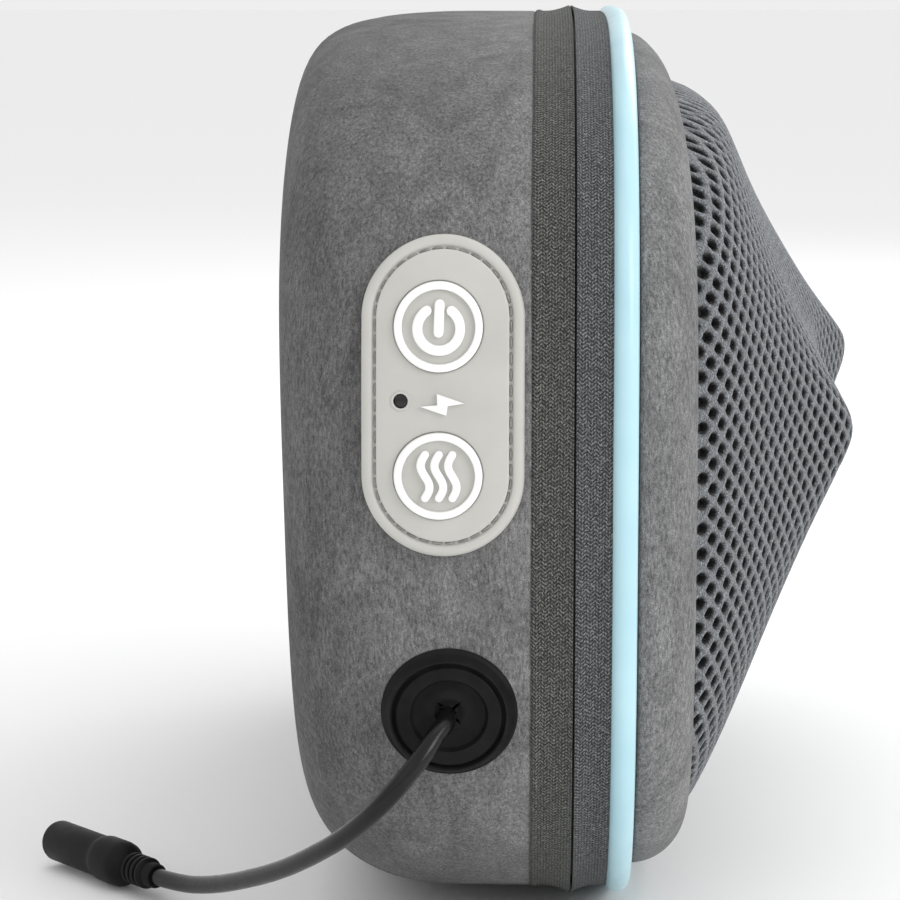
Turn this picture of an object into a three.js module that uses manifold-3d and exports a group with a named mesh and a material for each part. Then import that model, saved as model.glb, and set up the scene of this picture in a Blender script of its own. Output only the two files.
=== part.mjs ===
// Shiatsu neck massager: a zipped pillow case with a domed mesh front, a silicone control pad and a
// charging lead on one end, and a motor, two worm drives and four kneading heads inside.
// Millimetres. X is the thickness (mesh side +X), Y the length (control end at -Y), Z is up.
import * as THREE from 'three';
import { mergeVertices } from 'three/addons/utils/BufferGeometryUtils.js';
import Module from 'manifold-3d';

const wasm = await Module();
wasm.setup();

// ---------------------------------------------------------------- driving dimensions (mm)
const GAP = 0.3; // clearance between pieces that touch

// case outline in the YZ plane, a superellipse that is flat where it rests
const HALF_LENGTH = 162;
const HALF_HEIGHT = 98;
const CORNER_POWER = 3.4;
const CENTRE_Z = 97;
const OUTLINE_STEPS = 36;

// stations across the thickness
const BACK_X = -65;
const BACK_ROUND_X = 34; // how far the back edge rounding reaches forwards
const BACK_ROUND_IN = 28; // and how far it reaches inwards
const TAPE_REAR_X = -13.8;
const ZIP_X = -5;
const TAPE_FRONT_X = 2.2;
const PIPING_X = 5;
const RIM_X = 20;
const RIM_STEP = 4.5; // the suede rim starts this far inside the piping
const RIM_INSET = 16; // and ends this far in, where the mesh starts
const WALL = 3;
const TAPE_THICK = 1.2;
const TAPE_RIDGE = 1.4; // how far the closure stands up
const RIDGE_WIDTH = 2.4;
const COIL_HALF = 1.6;
const COIL_THICK = 1.4;
const PIPING_RADIUS = 2.6;
const PIPING_PROUD = 1.5;

// mesh front: two peaks over the kneading heads
const PEAKS = [
  { y: -52, z: 100.5, height: 39.6 },
  { y: 52, z: 108.5, height: 47.1 },
];
const PEAK_SLOPE_POWER = 0.8;
const PEAK_ROUND = 0.07; // how far from a peak its rounded tip ends, as a share of the way to the rim
const PEAK_BLEND_POWER = 6;
const DOME_RINGS = 7;
const MESH_THICK = 3;
const LINING_THICK = 2;

// control pad on the end face
const PAD = { x: -31, z: 121, width: 32, height: 63, thick: 2.6 };
const PAD_GROOVE_INSET = 2.2;
const PAD_GROOVE_WIDTH = 0.8;
const KEY_X = -31.9;
const POWER_Z = 134.8;
const HEAT_Z = 105.8;
const KEY_RADIUS = 8.6;
const RING_WIDTH = 1.5;
const MARK_RAISE = 0.7;
const SYMBOL_STROKE = 1.95;
const LED = { x: -39.2, z: 120.5, radius: 1.4 };
const BOARD_Y = -146;

// charging lead
const GROMMET = { x: -30, z: 57, radius: 13.8, neck: 9.5, proud: 2.8 };
const CABLE_RADIUS = 1.95;
const JACK_LENGTH = 37.5;
const JACK_RADIUS = 5.2;

// kneading drive
const ROTOR_Y = 52;
const ROTOR_Z = 97;
const HEAD_ORBIT = 17;
const WORM_TEETH = 30;
const MODULE = 1.6;
const GEAR_X = -4;
const GEAR_WIDTH = 8;
const WHEEL_RADIUS = (WORM_TEETH * MODULE) / 2;
const WORM_RADIUS = 5;
const PITCH = Math.PI * MODULE;
const ADDENDUM = 1.4;
const DEDENDUM = 1.8;
const TOOTH_HALF = 0.18 * PITCH; // half a tooth at the pitch line, thin so the set turns freely
const FLANK = Math.tan(THREE.MathUtils.degToRad(20));
const WORM_Z = ROTOR_Z - WHEEL_RADIUS - WORM_RADIUS;
const MOTOR_RADIUS = 12;
const MOTOR_HALF = 22;
const CHASSIS_X = -20;
const PLATE = 3;
const COVER_X = 5;
const ROTOR_X = 10.5;
const ROTOR_THICK = 3.5;

// ---------------------------------------------------------------- materials
const finish = (color, roughness, metalness = 0) => ({ color, roughness, metalness });
const SUEDE = finish(0x747474, 0.9);
const TAPE = finish(0x4e504c, 0.8);
const DARK_MESH = finish(0x3a3d40, 0.75);
const BLUE = finish(0xbce2ec, 0.35);
const SILICONE = finish(0xc8c7c2, 0.55);
const WHITE = finish(0xf4f4f2, 0.5);
const BLACK_RUBBER = finish(0x101010, 0.5);
const BLACK_GLOSS = finish(0x0c0c0c, 0.25);
const BLACK_PLASTIC = finish(0x1a1a1a, 0.5);
const GREY_PLASTIC = finish(0x8d9094, 0.5);
const WHITE_PLASTIC = finish(0xdcdcd8, 0.45);
const STEEL = finish(0xb8babd, 0.3, 1);
const BRASS = finish(0xc8a24a, 0.3, 1);
const BOARD_GREEN = finish(0x1f5a36, 0.5);
const CELL_BLUE = finish(0x2c5fa8, 0.4);
const FOAM = finish(0xe4e0d4, 0.95);

// ---------------------------------------------------------------- geometry helpers
function signedVolume(positions, index) {
  const a = new THREE.Vector3();
  const b = new THREE.Vector3();
  const c = new THREE.Vector3();
  let sum = 0;
  for (let i = 0; i < index.length; i += 3) {
    a.fromArray(positions, 3 * index[i]);
    b.fromArray(positions, 3 * index[i + 1]);
    c.fromArray(positions, 3 * index[i + 2]);
    sum += a.dot(b.cross(c)) / 6;
  }
  return sum;
}

// Positions and triangles as one closed body whose faces point out.
function closedBody(positions, index) {
  const turned = signedVolume(positions, index) < 0 ? [...index].reverse() : [...index];
  const geometry = new THREE.BufferGeometry();
  geometry.setAttribute('position', new THREE.Float32BufferAttribute(positions, 3));
  geometry.setIndex(turned);
  return geometry;
}

// Any three.js geometry with its shared vertices merged and its empty triangles dropped.
function merged(geometry) {
  const bare = geometry.clone();
  bare.deleteAttribute('normal');
  bare.deleteAttribute('uv');
  const joined = mergeVertices(bare, 1e-3);
  const kept = [];
  for (let i = 0; i < joined.index.count; i += 3) {
    const corner = [0, 1, 2].map((k) => joined.index.getX(i + k));
    if (new Set(corner).size === 3) kept.push(...corner);
  }
  return closedBody(Array.from(joined.attributes.position.array), kept);
}

function solid(geometry) {
  const body = merged(geometry);
  const vertProperties = new Float32Array(body.attributes.position.array);
  const triVerts = new Uint32Array(body.index.array);
  return new wasm.Manifold(new wasm.Mesh({ numProp: 3, vertProperties, triVerts }));
}

function fromSolid(manifold) {
  const mesh = manifold.getMesh();
  return closedBody(Array.from(mesh.vertProperties), Array.from(mesh.triVerts));
}

function cut(geometry, ...tools) {
  return fromSolid(tools.reduce((body, tool) => body.subtract(solid(tool)), solid(geometry)));
}

function join(...geometries) {
  return fromSolid(geometries.map(solid).reduce((body, other) => body.add(other)));
}

function overlapOf(a, b) {
  return fromSolid(solid(a).intersect(solid(b)));
}

// Shapes are drawn as (x, z) for solids along Y and as (y, z) for solids along X.
function alongY(shape, from, to, curveSegments = 12) {
  const settings = { depth: to - from, bevelEnabled: false, curveSegments };
  const geometry = new THREE.ExtrudeGeometry(shape, settings);
  return geometry.rotateX(Math.PI / 2).translate(0, to, 0);
}

const TO_X = new THREE.Matrix4().makeBasis(
  new THREE.Vector3(0, 1, 0),
  new THREE.Vector3(0, 0, 1),
  new THREE.Vector3(1, 0, 0),
);

function alongX(shape, from, to, curveSegments = 12) {
  const settings = { depth: to - from, bevelEnabled: false, curveSegments };
  const geometry = new THREE.ExtrudeGeometry(shape, settings);
  return geometry.applyMatrix4(TO_X).translate(from, 0, 0);
}

function box(x0, x1, y0, y1, z0, z1) {
  const geometry = new THREE.BoxGeometry(x1 - x0, y1 - y0, z1 - z0);
  return geometry.translate((x0 + x1) / 2, (y0 + y1) / 2, (z0 + z1) / 2);
}

// A turned piece: the profile is a list of [radius, station]; its axis is Y until it is moved.
function turned(profile, segments = 24) {
  const points = profile.map(([radius, station]) => new THREE.Vector2(radius, station));
  return merged(new THREE.LatheGeometry(points, segments));
}

function turnedAlongX(profile, y, z, segments = 24) {
  return turned(profile, segments).rotateZ(-Math.PI / 2).translate(0, y, z);
}

function turnedAlongY(profile, x, z, segments = 24) {
  return turned(profile, segments).translate(x, 0, z);
}

const rod = (radius, from, to) => [[0, from], [radius, from], [radius, to], [0, to]];
const section = (a0, a1, b0, b1) => [[a0, b0], [a1, b0], [a1, b1], [a0, b1]];
const tube = (inner, outer, from, to) => [...section(inner, outer, from, to), [inner, from]];

function circle(radius, x = 0, y = 0) {
  const shape = new THREE.Shape();
  shape.absarc(x, y, radius, 0, 2 * Math.PI);
  return shape;
}

function annulus(outer, inner, x, y) {
  const shape = circle(outer, x, y);
  shape.holes.push(circle(inner, x, y));
  return shape;
}

function rectangle(x0, y0, x1, y1) {
  return new THREE.Shape([
    new THREE.Vector2(x0, y0),
    new THREE.Vector2(x1, y0),
    new THREE.Vector2(x1, y1),
    new THREE.Vector2(x0, y1),
  ]);
}

// An upright slot with round ends.
function stadium(x, y, width, height) {
  const radius = width / 2;
  const reach = height / 2 - radius;
  const shape = new THREE.Shape();
  shape.absarc(x, y + reach, radius, 0, Math.PI);
  shape.absarc(x, y - reach, radius, Math.PI, 2 * Math.PI);
  shape.closePath();
  return shape;
}

// ---------------------------------------------------------------- case surfaces
function ellipsePoint(angle, inset) {
  const power = 2 / CORNER_POWER;
  const cos = Math.cos(angle);
  const sin = Math.sin(angle);
  const y = (HALF_LENGTH - inset) * Math.sign(cos) * Math.abs(cos) ** power;
  const z = CENTRE_Z + (HALF_HEIGHT - inset) * Math.sign(sin) * Math.abs(sin) ** power;
  return [y, z];
}

// Angles that space the outline's corners evenly along its length.
function evenAngles(count) {
  const fine = 4000;
  const lengths = [0];
  let last = ellipsePoint(0, 0);
  for (let i = 1; i <= fine; i++) {
    const next = ellipsePoint((2 * Math.PI * i) / fine, 0);
    lengths.push(lengths[i - 1] + Math.hypot(next[0] - last[0], next[1] - last[1]));
    last = next;
  }
  const angles = [];
  for (let k = 0; k < count; k++) {
    const wanted = (lengths[fine] * (k + 0.5)) / count;
    angles.push((2 * Math.PI * lengths.findIndex((length) => length >= wanted)) / fine);
  }
  return angles;
}

const ANGLES = evenAngles(OUTLINE_STEPS);

// The outline, moved inwards by inset, with its flat base.
function casePoint(angle, inset) {
  const [y, z] = ellipsePoint(angle, inset);
  return [y, Math.max(z, inset, 0)];
}

// How far the end face stands from the middle at height z.
function endFaceY(z) {
  const rise = Math.abs((z - CENTRE_Z) / HALF_HEIGHT) ** CORNER_POWER;
  return -HALF_LENGTH * (1 - rise) ** (1 / CORNER_POWER);
}

function bridge(index, first, second, count) {
  for (let k = 0; k < count; k++) {
    const next = (k + 1) % count;
    index.push(first + k, first + next, second + next);
    index.push(first + k, second + next, second + k);
  }
}

// A closed profile of [x, inset] corners swept once round the case outline.
function ring(profile) {
  const positions = [];
  const index = [];
  for (const [x, inset] of profile) {
    for (const angle of ANGLES) positions.push(x, ...casePoint(angle, inset));
  }
  profile.forEach((_, i) => {
    const next = (i + 1) % profile.length;
    bridge(index, i * OUTLINE_STEPS, next * OUTLINE_STEPS, OUTLINE_STEPS);
  });
  return closedBody(positions, index);
}

// An open profile of [x, inset] corners swept round, closed at both ends by a flat face.
function block(profile) {
  const positions = [];
  const index = [];
  for (const [x, inset] of profile) {
    for (const angle of ANGLES) positions.push(x, ...casePoint(angle, inset));
  }
  for (let i = 0; i + 1 < profile.length; i++) {
    bridge(index, i * OUTLINE_STEPS, (i + 1) * OUTLINE_STEPS, OUTLINE_STEPS);
  }
  const last = profile.length - 1;
  const centre = profile.length * OUTLINE_STEPS;
  positions.push(profile[0][0], 0, CENTRE_Z, profile[last][0], 0, CENTRE_Z);
  for (let k = 0; k < OUTLINE_STEPS; k++) {
    const next = (k + 1) % OUTLINE_STEPS;
    index.push(centre, next, k);
    index.push(centre + 1, last * OUTLINE_STEPS + k, last * OUTLINE_STEPS + next);
  }
  return closedBody(positions, index);
}

// The rounded back edge of the case, moved outwards by offset, from the back to station frontX.
function backProfile(offset, frontX, steps = 5) {
  const profile = [];
  for (let i = 0; i <= steps; i++) {
    const angle = (Math.PI / 2) * (i / steps);
    const slopeX = Math.cos(angle) / BACK_ROUND_X;
    const slopeIn = Math.sin(angle) / BACK_ROUND_IN;
    const size = Math.hypot(slopeX, slopeIn);
    const x = BACK_X + BACK_ROUND_X * (1 - Math.cos(angle)) - (offset * slopeX) / size;
    const inset = BACK_ROUND_IN * (1 - Math.sin(angle)) - (offset * slopeIn) / size;
    profile.push([x, inset]);
  }
  profile.push([frontX, -offset]);
  return profile;
}

const rearBlock = (offset, frontX = TAPE_REAR_X) => block(backProfile(offset, frontX));

// The part of a prism that lies between two heights above the case.
function onCase(prism, low, high) {
  return cut(overlapOf(prism, rearBlock(high)), rearBlock(low));
}

// ---------------------------------------------------------------- mesh front surface
// How far out a point of the opening lies, from 0 at the peak to 1 at the rim.
function gauge(y, z, peak, edge) {
  let low = 0;
  let high = 1;
  for (let i = 0; i < 24; i++) {
    const middle = (low + high) / 2;
    const py = (peak.y + (y - peak.y) / middle) / (HALF_LENGTH - edge);
    const pz = (peak.z + (z - peak.z) / middle - CENTRE_Z) / (HALF_HEIGHT - edge);
    if (Math.abs(py) ** CORNER_POWER + Math.abs(pz) ** CORNER_POWER > 1) low = middle;
    else high = middle;
  }
  return high;
}

function domeHeight(y, z, edge) {
  const fall = (share) => Math.hypot(share, PEAK_ROUND) ** PEAK_SLOPE_POWER - PEAK_ROUND ** PEAK_SLOPE_POWER;
  const parts = PEAKS.map((peak) => {
    const rise = peak.height * (1 - fall(gauge(y, z, peak, edge)) / fall(1));
    return Math.max(rise, 0) ** PEAK_BLEND_POWER;
  });
  return parts.reduce((sum, part) => sum + part, 0) ** (1 / PEAK_BLEND_POWER);
}

// A layer of the domed front, lying below the mesh's outer face by depth, open at the back.
function domeLayer(edge, depth, thick) {
  const positions = [];
  const index = [];
  for (const drop of [depth, depth + thick]) {
    for (let ringIndex = 1; ringIndex <= DOME_RINGS; ringIndex++) {
      for (const angle of ANGLES) {
        const [edgeY, edgeZ] = casePoint(angle, edge);
        const share = ringIndex / DOME_RINGS;
        const y = edgeY * share;
        const z = CENTRE_Z + (edgeZ - CENTRE_Z) * share;
        positions.push(RIM_X + domeHeight(y, z, edge) - drop, y, z);
      }
    }
    positions.push(RIM_X + domeHeight(0, CENTRE_Z, edge) - drop, 0, CENTRE_Z);
  }
  const layer = DOME_RINGS * OUTLINE_STEPS + 1;
  for (const side of [0, 1]) {
    const start = side * layer;
    const sheet = [];
    for (let i = 0; i + 1 < DOME_RINGS; i++) {
      bridge(sheet, start + i * OUTLINE_STEPS, start + (i + 1) * OUTLINE_STEPS, OUTLINE_STEPS);
    }
    for (let k = 0; k < OUTLINE_STEPS; k++) {
      sheet.push(start + layer - 1, start + ((k + 1) % OUTLINE_STEPS), start + k);
    }
    index.push(...(side ? sheet.reverse() : sheet));
  }
  const edgeRing = (DOME_RINGS - 1) * OUTLINE_STEPS;
  bridge(index, edgeRing, layer + edgeRing, OUTLINE_STEPS);
  return closedBody(positions, index);
}

// ---------------------------------------------------------------- assembly
const massager = new THREE.Group();
massager.name = 'shiatsu_neck_massager';

function add(name, geometry, look, parent = massager) {
  const material = new THREE.MeshStandardMaterial(look);
  const mesh = new THREE.Mesh(merged(geometry), material);
  mesh.name = name;
  parent.add(mesh);
  return mesh;
}

// ---------------------------------------------------------------- case
function grommetMatrix() {
  const step = 1;
  const slope = (endFaceY(GROMMET.z + step) - endFaceY(GROMMET.z - step)) / (2 * step);
  const outward = new THREE.Vector3(0, -1, slope).normalize();
  const across = new THREE.Vector3(1, 0, 0);
  const downward = new THREE.Vector3().crossVectors(across, outward);
  const matrix = new THREE.Matrix4().makeBasis(across, outward, downward);
  return matrix.setPosition(GROMMET.x, endFaceY(GROMMET.z), GROMMET.z);
}

const GROMMET_FRAME = grommetMatrix();
const atGrommet = (profile, segments = 24) => turned(profile, segments).applyMatrix4(GROMMET_FRAME);

function rearShell() {
  const hollow = rearBlock(-WALL, TAPE_REAR_X + 5);
  const neckHole = atGrommet(rod(GROMMET.neck + GAP, -12, 12), 24);
  const keyHoles = [POWER_Z, HEAT_Z].map((z) => alongY(circle(5, KEY_X, z), -170, -145, 8));
  const lightHole = alongY(circle(LED.radius + 0.8, LED.x, LED.z), -170, -140, 6);
  return cut(rearBlock(0), hollow, neckHole, ...keyHoles, lightHole);
}

function tapeProfile(from, to, ridgeAt) {
  const ridgeFoot = ridgeAt + Math.sign(from + to - 2 * ridgeAt) * RIDGE_WIDTH;
  const outer = [
    [ridgeAt, -TAPE_RIDGE],
    [ridgeFoot, 0],
  ];
  const far = ridgeAt === from ? to : from;
  return [...outer, [far, 0], [far, TAPE_THICK], [ridgeAt, TAPE_THICK]];
}

function pipingProfile(sides = 8) {
  const profile = [];
  for (let i = 0; i < sides; i++) {
    const angle = (2 * Math.PI * (i + 0.5)) / sides;
    const inset = PIPING_RADIUS - PIPING_PROUD - PIPING_RADIUS * Math.sin(angle);
    profile.push([PIPING_X + PIPING_RADIUS * Math.cos(angle), inset]);
  }
  return profile;
}

// The suede rim: a quarter-round from the piping to the edge of the mesh, and its inner face.
function rimProfile(steps = 5) {
  const startX = PIPING_X + PIPING_RADIUS + GAP;
  const arc = (offset) => {
    const points = [];
    for (let i = 0; i <= steps; i++) {
      const angle = (Math.PI / 2) * (i / steps);
      const x = startX + (RIM_X - offset - startX) * Math.sin(angle);
      const start = RIM_STEP + offset;
      points.push([x, start + (RIM_INSET - start) * (1 - Math.cos(angle))]);
    }
    return points;
  };
  return [...arc(0), ...arc(WALL).reverse()];
}

add('rear_shell', rearShell(), SUEDE);
add('zipper_tape_rear', ring(tapeProfile(TAPE_REAR_X + GAP, ZIP_X - GAP / 2, ZIP_X - GAP / 2)), TAPE);
add('zipper_tape_front', ring(tapeProfile(ZIP_X + GAP / 2, TAPE_FRONT_X, ZIP_X + GAP / 2)), TAPE);
const coilInset = TAPE_THICK + GAP;
const coilProfile = section(ZIP_X - COIL_HALF, ZIP_X + COIL_HALF, coilInset, coilInset + COIL_THICK);
add('zipper_coil', ring(coilProfile), BLACK_PLASTIC);
add('piping', ring(pipingProfile()), BLUE);
add('front_rim', ring(rimProfile()), SUEDE);
add('mesh_cover', domeLayer(RIM_INSET + GAP, 0, MESH_THICK), DARK_MESH);
add('cover_lining', domeLayer(RIM_INSET + 3 * GAP, MESH_THICK + GAP, LINING_THICK), BLACK_PLASTIC);

function backFoam() {
  const profile = backProfile(-WALL - GAP, BACK_X + 18).filter(([x]) => x < BACK_X + 18);
  profile.push([BACK_X + 18, profile[profile.length - 1][1]]);
  return block(profile);
}

add('back_foam', backFoam(), FOAM);

// ---------------------------------------------------------------- zipper slider
// The slider stands on the closure at the far end and its pull hangs down from it.
const SLIDER = { y: HALF_LENGTH + TAPE_RIDGE + 0.5, z: 115, half: 7, halfWidth: 4, thick: 2.2 };
const PULL = { halfWidth: 2.6, length: 20, thick: 1.4 };
const sliderTop = SLIDER.y + SLIDER.thick;
const pullBack = sliderTop + GAP;
add('zipper_slider', box(
  ZIP_X - SLIDER.halfWidth,
  ZIP_X + SLIDER.halfWidth,
  SLIDER.y,
  sliderTop,
  SLIDER.z - SLIDER.half,
  SLIDER.z + SLIDER.half,
), STEEL);
add('zipper_pull', box(
  ZIP_X - PULL.halfWidth,
  ZIP_X + PULL.halfWidth,
  pullBack,
  pullBack + PULL.thick,
  SLIDER.z - PULL.length,
  SLIDER.z,
), STEEL);

// ---------------------------------------------------------------- control pad
const padPrism = (shrink) => {
  const shape = stadium(PAD.x, PAD.z, PAD.width - 2 * shrink, PAD.height - 2 * shrink);
  return alongY(shape, -175, -130, 10);
};

function controlPad() {
  const groove = cut(padPrism(PAD_GROOVE_INSET), padPrism(PAD_GROOVE_INSET + PAD_GROOVE_WIDTH));
  const holes = [POWER_Z, HEAT_Z].map((z) => alongY(circle(KEY_RADIUS + GAP, KEY_X, z), -175, -130));
  const lightHole = alongY(circle(LED.radius + GAP, LED.x, LED.z), -175, -130, 8);
  const slab = onCase(padPrism(0), GAP, PAD.thick);
  return cut(slab, cut(groove, rearBlock(PAD.thick - 0.9)), ...holes, lightHole);
}

function key(z) {
  const face = onCase(alongY(circle(KEY_RADIUS, KEY_X, z), -175, -130), PAD.thick - 1.2, PAD.thick + 0.2);
  const post = alongY(circle(3, KEY_X, z), -166, BOARD_Y - 4.2, 8);
  const stem = cut(post, onCase(padPrism(-5), PAD.thick - 1, 12));
  return join(face, stem);
}

// A raised mark on the pad or on a key's face.
function raised(shape, curveSegments = 12) {
  const low = PAD.thick + 0.2 + GAP / 2;
  return onCase(alongY(shape, -175, -130, curveSegments), low, low + MARK_RAISE);
}

// A stroke of even width along a curve, with round ends.
function stroke(points, width) {
  const curve = new THREE.CatmullRomCurve3(points.map(([x, z]) => new THREE.Vector3(x, z, 0)));
  const steps = 4 * (points.length - 1);
  const sides = [[], []];
  for (let i = 0; i <= steps; i++) {
    const centre = curve.getPoint(i / steps);
    const along = curve.getTangent(i / steps);
    const offset = new THREE.Vector2(-along.y, along.x).multiplyScalar(width / 2);
    sides[0].push(new THREE.Vector2(centre.x + offset.x, centre.y + offset.y));
    sides[1].unshift(new THREE.Vector2(centre.x - offset.x, centre.y - offset.y));
  }
  return new THREE.Shape([...sides[0], ...sides[1]]);
}

function powerArc() {
  const outer = 5.1;
  const inner = outer - SYMBOL_STROKE;
  const gapAngle = 0.62;
  const shape = new THREE.Shape();
  shape.absarc(KEY_X, POWER_Z, outer, Math.PI / 2 + gapAngle, Math.PI / 2 - gapAngle, false);
  shape.absarc(KEY_X, POWER_Z, inner, Math.PI / 2 - gapAngle, Math.PI / 2 + gapAngle, true);
  shape.closePath();
  return shape;
}

const WAVE_HEIGHT = 9.6;
const WAVE_STROKE = 1.6;

function heatWave(shift) {
  const points = [];
  for (let i = 0; i <= 4; i++) {
    const turn = (i / 4) * 2 * Math.PI;
    points.push([KEY_X + shift - 0.9 * Math.sin(turn), HEAT_Z + WAVE_HEIGHT * (0.5 - i / 4)]);
  }
  return stroke(points, WAVE_STROKE);
}

function boltShape() {
  const corners = [[-1.1, 2.2], [4.3, 0.35], [1.05, -0.15], [0.75, -2], [-4.25, -0.3], [-1, 0]];
  return new THREE.Shape(corners.map(([x, z]) => new THREE.Vector2(PAD.x - 0.2 + x, LED.z - 0.7 + z)));
}

add('control_pad', controlPad(), SILICONE);
add('charge_mark', raised(boltShape()), WHITE);
add('power_key', key(POWER_Z), SILICONE);
add('power_ring', raised(annulus(KEY_RADIUS, KEY_RADIUS - RING_WIDTH, KEY_X, POWER_Z)), WHITE);
add('power_arc', raised(powerArc()), WHITE);
add('power_bar', raised(stadium(KEY_X, POWER_Z + 1.7, SYMBOL_STROKE, 7.3), 4), WHITE);
add('heat_key', key(HEAT_Z), SILICONE);
add('heat_ring', raised(annulus(KEY_RADIUS, KEY_RADIUS - RING_WIDTH, KEY_X, HEAT_Z)), WHITE);
['left', 'middle', 'right'].forEach((side, i) => {
  add(`heat_wave_${side}`, raised(heatWave((i - 1) * 2.6)), WHITE);
});
const lensProfile = rod(LED.radius, -HALF_LENGTH - 0.5, BOARD_Y - 2.2);
add('led_lens', turnedAlongY(lensProfile, LED.x, LED.z, 12), BLACK_GLOSS);
add('key_board', box(-45.5, -23, BOARD_Y, BOARD_Y + 1.6, 96, 145), BOARD_GREEN);
for (const [name, z] of [['power_switch', POWER_Z], ['heat_switch', HEAT_Z]]) {
  const body = box(KEY_X - 3, KEY_X + 3, BOARD_Y - 2.3, BOARD_Y - GAP, z - 3, z + 3);
  add(name, body, BLACK_PLASTIC);
}

// ---------------------------------------------------------------- charging lead
const IRIS_RADIUS = 7.4;
const LEAD_HOLE = { across: -0.6, down: 0.6 };

function grommetBody() {
  const profile = [
    [IRIS_RADIUS + GAP, -9],
    [GROMMET.neck, -9],
    [GROMMET.neck, -1.5],
    [GROMMET.radius, -1.5],
    [GROMMET.radius, GROMMET.proud - 1],
    [GROMMET.radius - 1, GROMMET.proud],
    [10.8, GROMMET.proud],
    [10.8, GROMMET.proud - 1],
    [10, GROMMET.proud - 1],
    [10, GROMMET.proud - 0.2],
    [IRIS_RADIUS + GAP, GROMMET.proud - 0.2],
    [IRIS_RADIUS + GAP, -9],
  ];
  const seat = cut(rearBlock(GAP), atGrommet(rod(GROMMET.neck + 0.05, -14, 6)));
  return cut(atGrommet(profile), seat);
}

function grommetIris() {
  const disc = atGrommet(rod(IRIS_RADIUS, -1.2, 1));
  const slits = [1, -1].map((lean) => {
    const blade = new THREE.BoxGeometry(0.6, 8, 11).rotateY((lean * Math.PI) / 4);
    return blade.applyMatrix4(GROMMET_FRAME);
  });
  const hole = new THREE.CylinderGeometry(CABLE_RADIUS + GAP, CABLE_RADIUS + GAP, 12, 16);
  hole.translate(LEAD_HOLE.across, 0, LEAD_HOLE.down).applyMatrix4(GROMMET_FRAME);
  return cut(disc, ...slits, hole);
}

const leadAt = (out) => {
  return new THREE.Vector3(LEAD_HOLE.across, out, LEAD_HOLE.down).applyMatrix4(GROMMET_FRAME);
};

// The lead leaves the grommet, drops past the back edge and comes down to the table.
const LEAD_ROUTE = [
  leadAt(-8),
  leadAt(-4),
  leadAt(0),
  leadAt(4),
  new THREE.Vector3(-32.4, -166.2, 53.8),
  new THREE.Vector3(-34.6, -168.8, 50.8),
  new THREE.Vector3(-37.9, -170.8, 46.8),
  new THREE.Vector3(-43.2, -170.6, 40.6),
  new THREE.Vector3(-50.2, -164.6, 33.0),
  new THREE.Vector3(-57.6, -155.2, 26.2),
  new THREE.Vector3(-65.4, -143.8, 19.8),
  new THREE.Vector3(-73.7, -131.0, 14.1),
  new THREE.Vector3(-81.6, -118.6, 9.4),
  new THREE.Vector3(-88.4, -108.6, 6.5),
  new THREE.Vector3(-94.6, -100.8, 5.4),
  new THREE.Vector3(-98.6, -96.2, 5.3),
];
const JACK_DIRECTION = new THREE.Vector3(-0.657, 0.754, 0).normalize();

function leadTube() {
  const path = new THREE.CatmullRomCurve3(LEAD_ROUTE, false, 'centripetal');
  const outline = new THREE.Shape();
  const sides = 8;
  for (let i = 0; i < sides; i++) {
    const angle = (2 * Math.PI * i) / sides;
    const point = [CABLE_RADIUS * Math.cos(angle), CABLE_RADIUS * Math.sin(angle)];
    if (i) outline.lineTo(...point);
    else outline.moveTo(...point);
  }
  return new THREE.ExtrudeGeometry(outline, { steps: 32, extrudePath: path, bevelEnabled: false });
}

const jackFrame = new THREE.Group();
jackFrame.position.copy(LEAD_ROUTE[LEAD_ROUTE.length - 1]).addScaledVector(JACK_DIRECTION, 2 * GAP);
jackFrame.quaternion.setFromUnitVectors(new THREE.Vector3(0, 1, 0), JACK_DIRECTION);
massager.add(jackFrame);

// The moulded socket body: relief sleeve, grip bulge and barrel, with the contact bore at its end.
function jackBody() {
  const profile = [
    [0, 0],
    [3.4, 0],
    [3.7, 1.5],
    [3.7, 8],
    [JACK_RADIUS, 11],
    [JACK_RADIUS, 17],
    [4.7, 18.5],
    [4.7, JACK_LENGTH - 0.8],
    [4.2, JACK_LENGTH],
    [3.1, JACK_LENGTH],
    [3.1, JACK_LENGTH - 11],
    [0, JACK_LENGTH - 11],
  ];
  return turned(profile, 16);
}

add('dc_cable', leadTube(), BLACK_GLOSS);
add('cable_grommet', grommetBody(), BLACK_RUBBER);
add('grommet_iris', grommetIris(), BLACK_RUBBER);
add('dc_jack_body', jackBody(), BLACK_RUBBER, jackFrame);
add('dc_jack_pin', turned(rod(1, JACK_LENGTH - 11 + GAP, JACK_LENGTH - 2), 12), STEEL, jackFrame);

// ---------------------------------------------------------------- chassis and power
const COVER_HALF_Y = 96;
const COVER_LOW = 46;
const COVER_HIGH = 134;
const POST_INSET = 5;
const SIDES = [
  { side: 'left', y: -ROTOR_Y, hand: 1 },
  { side: 'right', y: ROTOR_Y, hand: -1 },
];
const AXLE_RADIUS = 3;
const posts = [-1, 1].flatMap((end) => [COVER_LOW, COVER_HIGH].map((z) => ({
  y: end * (COVER_HALF_Y - POST_INSET),
  z: z + (z === COVER_LOW ? POST_INSET : -POST_INSET),
})));

// An upright wall that holds one end of the motor.
function motorBracket(end) {
  const y = end * (MOTOR_HALF + 1.4);
  const plate = box(CHASSIS_X + PLATE - 0.5, GEAR_X + 8, y - 1, y + 1, WORM_Z - 9, WORM_Z + 9);
  return cut(plate, alongY(circle(3.2, GEAR_X, WORM_Z), y - 3, y + 3, 8));
}

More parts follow.
